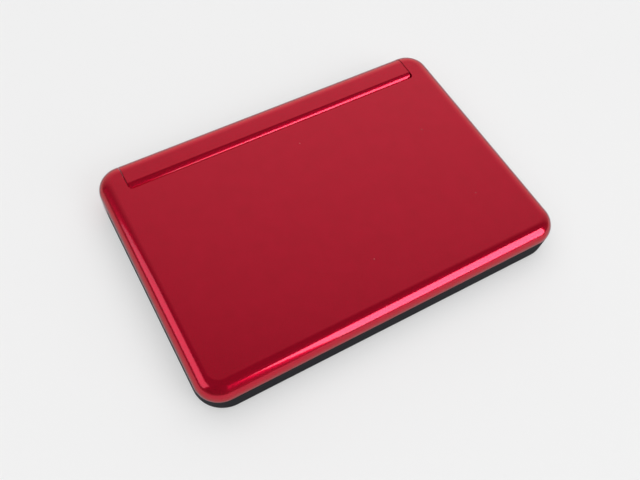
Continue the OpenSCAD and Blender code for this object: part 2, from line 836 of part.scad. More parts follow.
module earphone_socket() {
    half = jack_body / 2;
    face = side_x - socket_sink;
    color(rubber) difference() {
        union() {
            span([face - jack_l - jack_wall, jack_y - half, floor_z + base_edge_r - wall + lay_gap],
                [side_x - wall - lay_gap, jack_y + half, deck_low - jack_wall / 2]);
            rod(side_x - wall - 1, face, jack_nose, jack_y, jack_z);
        }
        rod(face - jack_l, side_x + 1, jack_r, jack_y, jack_z);
    }
}

module card_socket() {
    half = card_w / 2;
    inner = half - slot_rail;
    x0 = wall + 0.5 - side_x;
    color(steel) difference() {
        span([x0, card_y - half, slot_low], [x0 + slot_l, card_y + half, boss_top]);
        span([x0 - 1, card_y - inner, slot_low + slot_wall],
            [x0 + slot_l - slot_wall, card_y + inner, boss_top - slot_wall]);
    }
}

// A half of the display cable's coil about the hinge pin
module cable_coil(x0, x1) {
    difference() {
        rod(x0, x1, coil_out, hinge_y, hinge_z);
        rod(x0 - 1, x1 + 1, coil_in, hinge_y, hinge_z);
    }
}

module display_cable_base() {
    color(copper) {
        cable_coil(cable_x0, side_x - knuckle_w);
        span([cable_x0, connector_back, hinge_z - coil_out],
            [barrel_x - end_t - fit_gap, hinge_y, hinge_z - coil_in]);
    }
}

module display_cable_lid() {
    x0 = notch_x + end_t + fit_gap;
    x1 = arm_x - arm_t - 2 * fit_gap;
    color(copper) {
        cable_coil(side_x - knuckle_w, x1);
        span([x0, hinge_y - coil_out, hinge_z], [x1, hinge_y - coil_in, flex_z]);
        span([x0, flex_y, flex_z - flex_t], [x1, hinge_y - coil_in, flex_z]);
        span([lid_board_w / 2, flex_y, flex_z - flex_t], [x1, flex_y + flex_w, flex_z]);
    }
}

module lid_inside(z0) {
    case_slab(wall, z0, roof_z, lid_inner_r, 0);
}

// The hollow of the knuckle at +X, its way to the leaf of the arm and the hole for the pin
module knuckle_inside() {
    intersection() {
        case_slab(wall, foot_h + wall, roof_z, lid_inner_r, 1);
        union() {
            rod(notch_x + end_t, side_x, knuckle_r - wall, hinge_y, hinge_z);
            span([notch_x + end_t, hinge_y - lip_r - 2, leaf_z - 2 * lay_gap],
                [side_x, hinge_y + end_t, roof_z]);
        }
    }
    rod(notch_x - 1, notch_x + end_t + 1, window_r, hinge_y, hinge_z);
}

// The lid's shell: a rounded slab, its two knuckles and the cut-out for the barrel
module lid_cover() {
    color(case_red) difference() {
        union() {
            case_slab(0, lid_z, top_z, lid_edge_r, 0);
            intersection() {
                case_slab(0, foot_h, top_z, lid_edge_r, base_edge_r);
                for (s = [-1, 1]) scale([s, 1, 1]) {
                    rod(notch_x, side_x, knuckle_r, hinge_y, hinge_z);
                    span([notch_x, hinge_y, hinge_z], [side_x, back_y, lid_z + 1]);
                }
            }
        }
        difference() {
            lid_inside(lid_z - 1);
            rod(-side_x, side_x, lip_r, hinge_y, hinge_z);
            span([-side_x, hinge_y - lip_r + 1, 0], [side_x, back_y, top_z]);
        }
        intersection() {
            lid_inside(lid_z - 1);
            difference() {
                span([-side_x, hinge_y - lip_r, lid_z + 1], [side_x, back_y - notch_back, roof_z]);
                rod(-side_x, side_x, lip_r, hinge_y, hinge_z);
            }
        }
        translate([0, back_y - notch_back + body_d / 2, 0])
            plate(2 * notch_x, body_d, notch_r, 0, top_z + 1);
        rod(-notch_x, notch_x, swing_r, hinge_y, hinge_z);
        for (s = [-1, 1]) scale([s, 1, 1]) knuckle_inside();
    }
    color(case_red) {
        for (p = BEZEL_SCREWS) translate([p.x, p.y, 0]) difference() {
            span_z(bezel_boss + lay_gap, roof_z + post_sink / 2, pillar_r);
            span_z(bezel_z, roof_z - post_sink, screw_r + run_gap);
        }
        for (s = [-1, 1]) translate([s * (arm_x - arm_t + leaf_w / 2), stake_y, 0]) {
            span_z(leaf_z + leaf_t + lay_gap, roof_z + post_sink / 2, stake_r + 0.5);
            span_z(leaf_z + lay_gap, roof_z, stake_r);
        }
    }
}

module display_bezel() {
    color(deck_grey) difference() {
        union() {
            translate([0, 0, bezel_z]) linear_extrude(bezel_t) difference() {
                inner_outline(bezel_back);
                translate([0, view_y]) polygon(rounded(
                    window_w + 2 * window_gap, window_d + 2 * window_gap, window_corner + window_gap));
            }
            for (p = BEZEL_SCREWS) translate([p.x, p.y, 0]) span_z(bezel_z, bezel_boss, bezel_boss_r);
        }
        for (p = BEZEL_SCREWS) translate([p.x, p.y, 0]) {
            span_z(0, bezel_seat, bumper_r + window_gap);
            span_z(0, top_z, screw_r + key_clear);
        }
    }
}

module display_window() {
    z0 = bezel_z + window_sink;
    color("silver", 0.4) translate([0, view_y, 0])
        plate(window_w, window_d, window_corner, z0, z0 + window_t);
}

module display_panel() {
    color(case_black) translate([0, view_y, 0]) plate(window_w - 2 * panel_inset,
        window_d - 2 * panel_inset, window_corner / 2, panel_z, panel_z + panel_t);
}

module display_board() {
    color(board_green) translate([0, view_y, 0])
        plate(lid_board_w, lid_board_d, 1, lid_board_z, lid_board_z + board_t);
}

// Rubber plugs over the bezel's screws, which keep the lid off the deck
module lid_bumpers() {
    color(rubber) for (p = BEZEL_SCREWS) translate([p.x, p.y, 0])
        span_z(deck_z + lay_gap, bezel_seat - bezel_head_t - lay_gap, bumper_r);
}

module bezel_screws() {
    color(steel) for (p = BEZEL_SCREWS)
        screw(p.x, p.y, bezel_seat - screw_seat_gap, roof_z - head_t, bezel_head_t);
}

module battery_door() {
    color(case_black) door_solid(0, 0);
}

// Door of the memory card slot, with a pin at each end of its lower edge
module card_door() {
    color(case_black) translate([-side_x, card_y, card_z]) {
        span([0, -card_w / 2, card_t / 2], [card_t, card_w / 2, card_h]);
        translate([card_t / 2, 0, card_t / 2]) rotate([90, 0, 0]) {
            cylinder(h = card_w, r = card_t / 2, center = true);
            cylinder(h = card_w + 2 * card_pin_l, r = card_pin, center = true);
        }
    }
}

module stylus() {
    x0 = side_x - stylus_l;
    groove_z = stylus_z + stylus_r - groove_depth;
    color(case_black) intersection() {
        case_slab(lay_gap, foot_h, rim_z, 0, base_edge_r);
        difference() {
            union() {
                rod(x0 + stylus_tip, side_x, stylus_r, stylus_y, stylus_z);
                translate([x0, stylus_y, stylus_z]) rotate([0, 90, 0])
                    cylinder(h = stylus_tip, r1 = stylus_tip_r, r2 = stylus_r);
            }
            span([side_x - groove_x0, stylus_y - silo_r, groove_z],
                [side_x - groove_x1, stylus_y + silo_r, groove_z + stylus_r]);
        }
    }
}

// A key: its cap through the deck, a flange under the deck and a plunger over its dome
module key(k) {
    translate([k.x, k.y, 0]) {
        shoulder = deck_z + key_h - cap_step;
        plate(k[2], k[3], k[4], flange_z - flange_t / 2, shoulder);
        plate(k[2] - 2 * cap_step, k[3] - 2 * cap_step, k[4] - cap_step, shoulder, shoulder + cap_step);
        plate(k[2] + 2 * flange_out, k[3] + 2 * flange_out, k[4] + flange_out,
            flange_z - flange_t, flange_z);
        span_z(plunger_z, flange_z - flange_t, plunger_r);
    }
}

module keys(list, shade) {
    color(shade) for (k = list) key(k);
}

bottom_case();
keyboard_deck();
hinge_cover();
main_board();
board_chips();
dome_sheet();
sub_display();
speaker();
battery_left();
battery_right();
battery_spring();
battery_plate();
hinge_bracket(-1);  // hinge_bracket_left
hinge_bracket(1);  // hinge_bracket_right
hinge_washers();
case_screws();
rubber_feet();
usb_socket();
earphone_socket();
card_socket();
display_cable_base();
lid_cover();
display_bezel();
display_window();
display_panel();
display_board();
hinge_arm(-1);  // hinge_arm_left
hinge_arm(1);  // hinge_arm_right
hinge_pin(-1);  // hinge_pin_left
hinge_pin(1);  // hinge_pin_right
lid_bumpers();
bezel_screws();
display_cable_lid();
battery_door();
card_door();
stylus();
keys([POWER], key_grey);  // power_key
keys(LETTERS_1, key_white);  // letter_row_1
keys(LETTERS_2, key_white);  // letter_row_2
keys(LETTERS_3, key_white);  // letter_row_3
keys([FUNCTIONS[0]], key_grey);  // function_key_1
keys([FUNCTIONS[1]], key_grey);  // function_key_2
keys([FUNCTIONS[2]], key_grey);  // function_key_3
keys([FUNCTIONS[3]], key_grey);  // function_key_4
keys([FUNCTIONS[4]], key_grey);  // function_key_5
keys([FUNCTIONS[5]], key_grey);  // function_key_6
keys([SHIFT], key_grey);  // shift_key
keys([DELETE], key_grey);  // delete_key
keys([BACK], key_grey);  // back_key
keys([VOICE], key_grey);  // voice_key
keys([PAGE_UP], key_grey);  // page_up_key
keys([PAGE_DOWN], key_grey);  // page_down_key
keys([ENTER], key_white);  // enter_key
keys([UP], key_grey);  // up_key
keys([DOWN], key_grey);  // down_key
keys([LEFT], key_grey);  // left_key
keys([RIGHT], key_grey);  // right_key
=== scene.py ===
# %% [markdown]
# A pocket electronic dictionary, closed. The lid and the barrel cover are red metallic
# lacquer on moulded plastic, and the base under them is textured black plastic.
# The mechanical model is loaded first as a fixed frame. Every visible piece is then made
# around it, in millimetres, and rides on the body of the frame that it belongs to.

# %% Load the frame
import json
import math

import bmesh
import bpy
import numpy as np
from mathutils import Matrix, Vector


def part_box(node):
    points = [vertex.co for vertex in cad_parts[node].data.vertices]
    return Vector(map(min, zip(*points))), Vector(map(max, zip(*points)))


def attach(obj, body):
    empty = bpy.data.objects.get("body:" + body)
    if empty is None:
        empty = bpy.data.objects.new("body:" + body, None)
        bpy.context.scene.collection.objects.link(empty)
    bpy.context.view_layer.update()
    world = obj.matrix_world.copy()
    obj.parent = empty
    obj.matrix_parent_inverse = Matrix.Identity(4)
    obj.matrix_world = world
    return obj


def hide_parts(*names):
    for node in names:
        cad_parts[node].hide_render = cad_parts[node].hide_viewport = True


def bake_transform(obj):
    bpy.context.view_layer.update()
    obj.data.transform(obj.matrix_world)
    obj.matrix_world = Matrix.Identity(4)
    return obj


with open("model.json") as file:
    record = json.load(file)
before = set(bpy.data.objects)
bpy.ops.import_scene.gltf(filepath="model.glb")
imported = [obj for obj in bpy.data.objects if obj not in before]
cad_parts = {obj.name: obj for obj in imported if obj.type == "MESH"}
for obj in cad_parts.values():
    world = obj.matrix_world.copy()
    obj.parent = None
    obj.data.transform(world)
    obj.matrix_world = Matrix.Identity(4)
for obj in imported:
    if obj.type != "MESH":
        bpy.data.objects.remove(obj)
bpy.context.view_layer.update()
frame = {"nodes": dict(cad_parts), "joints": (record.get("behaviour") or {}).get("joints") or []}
MM = 0.001


# %% [markdown]
# The frame says how large each part is, so no size is guessed twice. One small function
# gives the box of a node in millimetres, and the main planes of the case come from it.

# %% Sizes from the frame
def box_mm(node):
    """Lowest and highest corner of a node, in millimetres."""
    low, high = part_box(node)
    return np.array(low) / MM, np.array(high) / MM


lid_joint = next(j for j in frame["joints"] if j["name"] == "lid_hinge")
_, HINGE_Y, HINGE_Z = [c / MM for c in lid_joint["pos_m"]]
SIDE_X, BACK_Y, TOP_Z = box_mm("lid_cover")[1]
FOOT_H = box_mm("bottom_case")[0][2]
BARREL_X = box_mm("hinge_cover")[1][0]
BARREL_GAP, LID_GAP = 0.25, 0.3
NOTCH_X = BARREL_X + BARREL_GAP
RIM_Z = 9.9
LID_Z = RIM_Z + LID_GAP
print("case", 2 * SIDE_X, "x", 2 * BACK_Y, "x", TOP_Z, "hinge at", HINGE_Y, HINGE_Z)


# %% [markdown]
# The camera stands where the photograph was taken from: front left, looking down steeply,
# and turned a little about its own line of sight. Its direction, distance and turn were
# fitted to the outline of the lid.

# %% Camera
VIEW_AZIMUTH = math.radians(-33.91)
VIEW_ELEVATION = math.radians(58.82)
VIEW_ROLL = math.radians(5.43)
VIEW_DISTANCE = 275.64
VIEW_TARGET = Vector((-8.29, -10.73, 8.0))
VIEW_LENS = 41.11


def direction(azimuth, elevation):
    """Unit vector towards a point of the sky. Azimuth 0 is in front, and +X is to the right."""
    flat = math.cos(elevation)
    return Vector((math.sin(azimuth) * flat, -math.cos(azimuth) * flat, math.sin(elevation)))


def new_object(name, data):
    """A new object, placed in the scene."""
    made = bpy.data.objects.new(name, data)
    bpy.context.scene.collection.objects.link(made)
    return made


def place_camera():
    """Create the scene's camera from the fitted direction, distance and roll."""
    back = direction(VIEW_AZIMUTH, VIEW_ELEVATION)
    level = Vector((0, 0, 1)).cross(back).normalized()
    upright = back.cross(level)
    right = level * math.cos(VIEW_ROLL) + upright * math.sin(VIEW_ROLL)
    up = upright * math.cos(VIEW_ROLL) - level * math.sin(VIEW_ROLL)
    data = bpy.data.cameras.new("camera")
    data.lens = VIEW_LENS
    data.sensor_width = 36
    data.clip_start = 0.01
    camera = new_object("camera", data)
    turn = Matrix((right, up, back)).transposed().to_4x4()
    camera.matrix_world = Matrix.Translation((VIEW_TARGET + back * VIEW_DISTANCE) * MM) @ turn
    bpy.context.scene.camera = camera
    return camera


print("camera at", [round(c, 3) for c in place_camera().location])


# %% [markdown]
# A material here is a small graph of nodes. One function sets a node: each value goes to an
# input or a property, and the output of another node is linked instead. A second one turns
# a colour written as sRGB hex into the linear values that shaders use. With both, a whole
# material stays short enough to be read at once.

# %% Node helper and colours
def linear(hex_colour):
    """Linear RGBA of an sRGB colour such as "#a5222f"."""
    values = [int(hex_colour[i:i + 2], 16) / 255 for i in (1, 3, 5)]
    return [v / 12.92 if v <= 0.04045 else ((v + 0.055) / 1.055) ** 2.4 for v in values] + [1.0]


def fill(node, *inputs, **settings):
    """Set a node. A setting names a property, or an input with _ for a space. Plain values
    go to the inputs in order. A colour may be given in hex."""
    for key, value in list(settings.items()) + list(enumerate(inputs)):
        socket = key if isinstance(key, int) else key.replace("_", " ")
        value = linear(value) if str(value).startswith("#") else value
        if isinstance(key, str) and socket not in node.inputs:
            setattr(node, key, value)
        elif isinstance(value, bpy.types.NodeSocket):
            node.id_data.links.new(value, node.inputs[socket])
        else:
            node.inputs[socket].default_value = value


def add_node(tree, kind, *inputs, **settings):
    """Add a node, set it, and give its outputs."""
    node = tree.nodes.new("ShaderNode" + kind)
    fill(node, *inputs, **settings)
    return node.outputs


def new_material(name, **constants):
    """A material, its tree, its shader, and the place on the object in metres."""
    material = bpy.data.materials.new(name)
    material.use_nodes = True
    tree = material.node_tree
    shader = tree.nodes["Principled BSDF"]
    fill(shader, **constants)
    return material, tree, shader, add_node(tree, "TexCoord")["Object"]


# %% [markdown]
# The studio is a pale floor under a soft sky that is pale at the horizon and dark overhead.
# The glossy lid mirrors that sky, which gives it its deep, even red. A wide glow at the back
# right stands for a window behind the table. A photograph of a room could light the case
# too, but a sky of a few nodes is easier to match to the shading of this one lid.

# %% Floor and sky
FLOOR_SIZE = 1.0
FLOOR_GLOW = 0.36
SKY_LEVEL = 0.07
HORIZON_LEVEL = 0.15
BACKDROP_LEVEL = 0.9
SKY_FALL = 6.0
GLOW_AZIMUTH = math.radians(150)
GLOW_LEVEL = 1.15
GLOW_EDGE = 0.24


def soft_floor():
    """A wide pale floor with the soft shadow of the case. The camera sees part of its white as
    a glow, so the shadow stays as light as in the photograph."""
    material, tree, shader, _ = new_material("matt_white_paper", Roughness=0.9, Specular_IOR_Level=0.1,
                                             Emission_Color=(1, 1, 1, 1))
    rays = add_node(tree, "LightPath")
    mirrored = add_node(tree, "Mix", data_type="RGBA", Factor=rays["Is Glossy Ray"],
                        A="#f3f3f3", B="#d2d0d4")
    seen = add_node(tree, "Mix", data_type="RGBA", Factor=rays["Is Camera Ray"],
                    A=mirrored["Result"], B="#bdbdbd")
    glow = add_node(tree, "Math", rays["Is Camera Ray"], FLOOR_GLOW, operation="MULTIPLY")
    fill(shader, Base_Color=seen["Result"], Emission_Strength=glow[0])
    mesh = bpy.data.meshes.new("studio_floor")
    corners = [(x * FLOOR_SIZE, y * FLOOR_SIZE, 0) for x, y in ((-1, -1), (1, -1), (1, 1), (-1, 1))]
    mesh.from_pydata(corners, [], [(0, 1, 2, 3)])
    mesh.materials.append(material)
    new_object("studio_floor", mesh)


def studio_sky():
    """World light: pale at the horizon, dim above, with a soft glow from a far window."""
    world = bpy.data.worlds.new("studio_sky")
    world.use_nodes = True
    bpy.context.scene.world = world
    tree = world.node_tree
    where = add_node(tree, "TexCoord")["Generated"]
    height = add_node(tree, "SeparateXYZ", where)["Z"]
    slope = add_node(tree, "Math", height, operation="ABSOLUTE")[0]
    flat = add_node(tree, "Math", 1.0, slope, operation="SUBTRACT", use_clamp=True)[0]
    fall = add_node(tree, "Math", flat, SKY_FALL, operation="POWER")[0]
    horizon = add_node(tree, "Math", fall, HORIZON_LEVEL, SKY_LEVEL, operation="MULTIPLY_ADD")[0]
    towards = add_node(tree, "VectorMath", where, direction(GLOW_AZIMUTH, 0), operation="DOT_PRODUCT")
    past_edge = add_node(tree, "Math", towards["Value"], GLOW_EDGE, operation="SUBTRACT")[0]
    nearness = add_node(tree, "Math", past_edge, 0.0, operation="MAXIMUM")[0]
    total = add_node(tree, "Math", nearness, GLOW_LEVEL, horizon, operation="MULTIPLY_ADD")[0]
    seen = add_node(tree, "LightPath")["Is Camera Ray"]
    strength = add_node(tree, "Mix", data_type="FLOAT", Factor=seen, A=total, B=BACKDROP_LEVEL)
    fill(tree.nodes["Background"], Color=(1, 1, 1, 1), Strength=strength["Result"])


soft_floor()
studio_sky()
bpy.context.scene.view_settings.view_transform = "Standard"
print("floor and sky ready")


# %% [markdown]
# Four lamps light the case. Two light only what is matt: a soft box at the front right, and
# a wide fill overhead. The other two are only mirrored. They draw the pink highlights along
# the rounded front and left edges, as bright as in the photograph, and make no shadow
# darker. Two lamps in one place would hide each other, so one stands a little nearer.

# %% Soft boxes
DAYLIGHT = (0.82, 0.8, 1.0)


def soft_box(name, azimuth, elevation, wide, high, radiance, seen_by="matt", distance=3.0):
    """A rectangular lamp that fills wide x high degrees of the sky and faces the case. It
    lights only what is matt, or is only mirrored, with a trace of blue, by what is glossy."""
    width, height = [2 * distance * math.tan(math.radians(angle) / 2) for angle in (wide, high)]
    data = bpy.data.lights.new(name, "AREA")
    data.shape = "RECTANGLE"
    data.size = width
    data.size_y = height
    data.energy = radiance * math.pi * width * height
    data.color = DAYLIGHT if seen_by == "glossy" else (1, 1, 1)
    lamp = new_object(name, data)
    away = direction(math.radians(azimuth), math.radians(elevation))
    lamp.location = away * distance
    lamp.rotation_euler = away.to_track_quat("Z", "Y").to_euler()
    lamp.visible_glossy = seen_by != "matt"
    lamp.visible_diffuse = seen_by != "glossy"


soft_box("front_right_soft_box", 31, 26, 34, 40, 1.7)
soft_box("overhead_fill", -30, 80, 100, 100, 1.15)
soft_box("front_right_sheen", 31, 26, 34, 39, 5.3, "glossy", 2.9)
soft_box("left_sheen", -103, 32.5, 44, 37, 1.45, "glossy")
print("soft boxes ready")


# %% [markdown]
# Every moulded shell starts as a closed solid: a stack of outlines, one above the other.
# A few functions draw outlines, and one turns a stack into a mesh, so a rounded slab, a box
# and a cylinder are all made the same way, with evenly spaced faces. With ready-made cubes,
# each round corner would be a separate job.

# %% Outlines and solids
MERGE_GAP = 1e-7


def cleaned(mesh, gap=0.0):
    """A mesh with points closer than a gap joined, and its faces turned outwards."""
    work = bmesh.new()
    work.from_mesh(mesh)
    if gap:
        bmesh.ops.remove_doubles(work, verts=work.verts, dist=gap)
    bmesh.ops.recalc_face_normals(work, faces=work.faces)
    work.to_mesh(mesh)
    work.free()
    return mesh


def make_piece(vertices, faces):
    """A mesh object from points in millimetres."""
    mesh = bpy.data.meshes.new("piece")
    mesh.from_pydata([Vector(v) * MM for v in vertices], [], faces)
    mesh.validate()
    return new_object("piece", cleaned(mesh))


def closed(*solids):
    """Points and faces of solids. Each is a list of rings with the same number of points."""
    vertices, faces = [], []
    for rings in solids:
        count, start = len(rings[0]), len(vertices)
        vertices += [point for ring in rings for point in ring]
        faces.append(list(range(start, start + count))[::-1])
        faces.append(list(range(len(vertices) - count, len(vertices))))
        for level in range(len(rings) - 1):
            for i in range(count):
                a, b = [start + level * count + k % count for k in (i, i + 1)]
                faces.append([a, b, b + count, a + count])
    return vertices, faces


def stack(*solids):
    """One mesh of closed solids."""
    return make_piece(*closed(*solids))


def circle(x, y, radius, steps=48):
    """Points of a circle, anticlockwise."""
    turns = [2 * math.pi * i / steps for i in range(steps)]
    return [(x + radius * math.cos(t), y + radius * math.sin(t)) for t in turns]


def bar(x0, y0, x1, y1):
    """A rectangle between two corners."""
    return [(x0, y0), (x1, y0), (x1, y1), (x0, y1)]


def rounded(width, depth, radius, steps, x=0, y=0):
    """Points of a rectangle with round corners, anticlockwise, around a middle."""
    points = []
    for corner, (sx, sy) in enumerate([(1, 1), (-1, 1), (-1, -1), (1, -1)]):
        for i in range(steps + 1):
            angle = math.radians(90 * (corner + i / steps))
            points.append((
                x + sx * (width / 2 - radius) + radius * math.cos(angle),
                y + sy * (depth / 2 - radius) + radius * math.sin(angle),
            ))
    return points


def raised(outline, z):
    """An outline lifted to a height."""
    return [(x, y, z) for x, y in outline]


def prism(outline, start, end, axis="Z"):
    """An outline drawn out along an axis."""
    at = "XYZ".index(axis)
    return stack([[(*point[:at], place, *point[at:]) for point in outline] for place in (start, end)])


def brick(low, high):
    """A box between two corners."""
    return prism(bar(low[0], low[1], high[0], high[1]), low[2], high[2])


def rod(x0, x1, radius, y, z, steps=96):
    """A cylinder along X."""
    return prism(circle(y, z, radius, steps), x0, x1, "X")


def plate(width, depth, radius, z0, z1, x=0, y=0, steps=8):
    """A flat plate with round corners."""
    return prism(rounded(width, depth, radius, steps, x, y), z0, z1)


def round_edge(face, radius, steps, upper=False):
    """Heights and insets up a rounded edge that ends at a lower or an upper face."""
    if not radius:
        return [(face, 0.0)]
    turns = [math.radians(90 * i / steps) for i in range(steps + 1)]
    if upper:
        return [(face - radius * (1 - math.sin(t)), radius * (1 - math.cos(t))) for t in turns]
    return [(face + radius * (1 - math.cos(t)), radius * (1 - math.sin(t))) for t in turns]


# %% [markdown]
# Seen from above, the case is a rectangle with wide round corners. Its upper edge is much
# rounder than its lower one, and the base draws in towards the table. A subdivided box is
# soft too, but never has these exact radii, so the slab is built ring by ring.

# %% The case's outline
CORNER_R = 9.5
CORNER_STEPS, EDGE_STEPS = 24, 20
BASE_DRAW_IN = 2.4
LID_EDGE_R = 5.7
BASE_EDGE_R = 3.0
WALL = 1.3


def slab(inset, z0, z1, top_r, bottom_r, draw_in=0.0):
    """A slab with the case's outline, drawn in by inset, with rounded upper and lower edges.
    Below the rim, its corners grow rounder by draw_in towards the floor."""
    rings = []
    for z, step in round_edge(z0, bottom_r, EDGE_STEPS) + round_edge(z1, top_r, EDGE_STEPS, True):
        reach = inset + step
        corner = CORNER_R - reach + draw_in * max(0.0, (RIM_Z - z) / (RIM_Z - z0))
        rings.append(raised(rounded(2 * (SIDE_X - reach), 2 * (BACK_Y - reach), corner, CORNER_STEPS), z))
    return stack(rings)


def inner_outline(inset, back):
    """The case's outline drawn in by inset and cut straight at the back."""
    half = SIDE_X - inset
    front = [p for p in rounded(2 * half, 2 * (BACK_Y - inset), CORNER_R - inset, 10) if p[1] < 0]
    return front + [(half, back), (-half, back)]


# %% [markdown]
# Solids are cut to shape with Blender's exact boolean. A narrow bevel then breaks each
# sharp edge, as moulding does, and catches the light. Every piece gets its name, material
# and body in one call, which also hides the nodes of the frame that it stands for. Cutters
# reach well past the case, so that no cut ends on a surface.

# %% Cutting and finishing
FAR, ABOVE, BELOW = 90, 30, -5
PAST, OVERLAP = 5, 2


def evaluated_mesh(thing):
    """The mesh of an object with its modifiers applied."""
    bpy.context.view_layer.update()
    return bpy.data.meshes.new_from_object(thing.evaluated_get(bpy.context.evaluated_depsgraph_get()))


def baked(piece):
    """Apply a piece's modifiers to its mesh."""
    mesh = evaluated_mesh(piece)
    piece.modifiers.clear()
    piece.data = mesh
    return piece


def carve(piece, cutters, operation="DIFFERENCE"):
    """Cut, join or intersect a piece with each cutter, and delete the cutters."""
    for cutter in cutters:
        modifier = piece.modifiers.new("carve", "BOOLEAN")
        modifier.operation = operation
        modifier.solver = "EXACT"
        modifier.object = cutter
        baked(piece)
        bpy.data.objects.remove(cutter)
    return piece


def crisp(piece, angle=35):
    """Smooth a piece but keep its edges sharper than an angle."""
    piece.modifiers.clear()
    piece.data.polygons.foreach_set("use_smooth", [True] * len(piece.data.polygons))
    piece.data.set_sharp_from_angle(angle=math.radians(angle))
    normals = piece.modifiers.new("normals", "WEIGHTED_NORMAL")
    normals.keep_sharp = True
    normals.weight = 80
    return piece


def soften(piece, width, angle=30, segments=3):
    """Bevel the edges sharper than an angle and smooth the rest."""
    bevel = piece.modifiers.new("soften", "BEVEL")
    bevel.limit_method = "ANGLE"
    bevel.angle_limit = math.radians(angle)
    bevel.width = width * MM
    bevel.segments = segments
    bevel.use_clamp_overlap = True
    bevel.miter_outer = "MITER_ARC"
    return crisp(baked(piece))


def dress(name, piece, material, body, slot, *nodes):
    """Name a piece and give it its material and its body, and hide the nodes it stands for. The slot is not
    used.
    """
    piece.name = name
    piece.data.name = name
    piece.data.materials.clear()
    piece.data.materials.append(material)
    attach(piece, body)
    if nodes:
        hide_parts(*nodes)
    print(name, "faces", len(piece.data.polygons))


# %% [markdown]
# The red is a metallic lacquer: fine aluminium flakes in a red base under a clear coat.
# The flakes make the colour glow where a lamp is near its mirror direction and go dark
# away from it, and the clear coat adds thin, sharp reflections on top. Sprayed lacquer is
# never perfectly even: it has a faint cloudiness, an orange peel a few millimetres wide,
# and it picks up dust and, along its rounded edges, fine scuffs.

# %% Red metallic lacquer
FLAKE_SIZE = 0.12
CLOUD_SIZE = 6.0
PEEL_SIZE, PEEL_DEPTH = 2.5, 0.0012
DUST_SPACING, DUST_R, DUST_SHARE = 24.0, 0.13, 0.2
SCUFF_SIZE, SCUFF_LEVEL = 0.5, 0.73


def roughen(tree, shader, where, size, depth, detail=2.0, strength=1.0):
    """A relief of soft lumps, of a size and depth in millimetres."""
    lumps = add_node(tree, "TexNoise", where, Scale=1 / (size * MM), Detail=detail)[0]
    fill(shader, Normal=add_node(tree, "Bump", Strength=strength, Distance=depth * MM, Height=lumps)[0])


def dust(tree, where, upward):
    """1 on a few specks of dust that lie on the flat top, 0 elsewhere."""
    cells = add_node(tree, "TexVoronoi", where, voronoi_dimensions="2D", Scale=1 / (DUST_SPACING * MM))
    near = add_node(tree, "Math", cells["Distance"], DUST_R / DUST_SPACING, operation="LESS_THAN")[0]
    chance = add_node(tree, "SeparateXYZ", cells["Color"])["X"]
    chosen = add_node(tree, "Math", chance, DUST_SHARE, operation="LESS_THAN")[0]
    flat = add_node(tree, "Math", upward, 0.98, operation="GREATER_THAN")[0]
    specks = add_node(tree, "Math", near, chosen, operation="MULTIPLY")[0]
    return add_node(tree, "Math", specks, flat, operation="MULTIPLY")[0]


def scuffs(tree, where, upward):
    """1 on fine rubbed marks along the rounded edges, 0 elsewhere."""
    marks = add_node(tree, "TexNoise", where, Scale=1 / (SCUFF_SIZE * MM), Detail=2.0)[0]
    rubbed = add_node(tree, "Math", marks, SCUFF_LEVEL, operation="GREATER_THAN")[0]
    leaning = add_node(tree, "Math", upward, 0.85, operation="LESS_THAN")[0]
    not_upright = add_node(tree, "Math", upward, 0.4, operation="GREATER_THAN")[0]
    rounding = add_node(tree, "Math", leaning, not_upright, operation="MULTIPLY")[0]
    return add_node(tree, "Math", rubbed, rounding, operation="MULTIPLY")[0]


def metallic_lacquer():
    """Red flake lacquer under a clear coat, sprayed on moulded plastic."""
    material, tree, shader, where = new_material(
        "red_metallic_lacquer", Metallic=0.72, Specular_Tint="#501820",
        Coat_Weight=0.8, Coat_Roughness=0.06, Coat_IOR=1.5)
    # Real flakes are about 0.02 mm, too fine to show: they are drawn 0.12 mm across.
    flakes = add_node(tree, "TexVoronoi", where, Scale=1 / (FLAKE_SIZE * MM))["Color"]
    cloud = add_node(tree, "TexNoise", where, Scale=1 / (CLOUD_SIZE * MM), Detail=5.0)[0]
    glint = add_node(tree, "SeparateXYZ", flakes)["X"]
    uneven = add_node(tree, "Math", glint, cloud, operation="ADD")[0]
    share = add_node(tree, "Math", uneven, 0.5, operation="MULTIPLY")[0]
    tone = add_node(tree, "Mix", data_type="RGBA", Factor=share, A="#c20827", B="#dc0a35")
    normal = add_node(tree, "NewGeometry")["Normal"]
    upward = add_node(tree, "SeparateXYZ", normal)["Z"]
    specks = dust(tree, where, upward)
    dusty = add_node(tree, "Mix", data_type="RGBA", Factor=specks, A=tone["Result"], B="#d8b4ae")
    dull = add_node(tree, "Math", scuffs(tree, where, upward), specks, operation="MAXIMUM")[0]
    gloss = add_node(tree, "MapRange", dull, To_Min=0.2, To_Max=0.5)
    fill(shader, Base_Color=dusty["Result"], Roughness=gloss[0])
    roughen(tree, shader, where, PEEL_SIZE, PEEL_DEPTH, 1.0)
    return material


RED = metallic_lacquer()


# %% [markdown]
# The black base is moulded ABS with a fine spark-eroded texture, so it is matt and shows
# only a soft grey sheen along its rounded lower edge. The grain is too small to model, so
# noise tilts the surface instead. Other moulded plastics, the rubber and the printing inks
# differ from it in colour, gloss and depth of texture alone.

# %% Textured black ABS
# Real grain is about 0.1 mm across, too fine to show. It is drawn coarser.
GRAIN = 0.25


def moulded(name, colour, roughness=0.6, depth=0.01):
    """A moulded material with a fine texture of the given depth in millimetres."""
    material, tree, shader, where = new_material(
        name, Base_Color=colour, Roughness=roughness, IOR=1.52, Specular_IOR_Level=0.1)
    roughen(tree, shader, where, GRAIN, depth, 3.0)
    return material


BLACK = moulded("black_textured_abs", "#18191d")


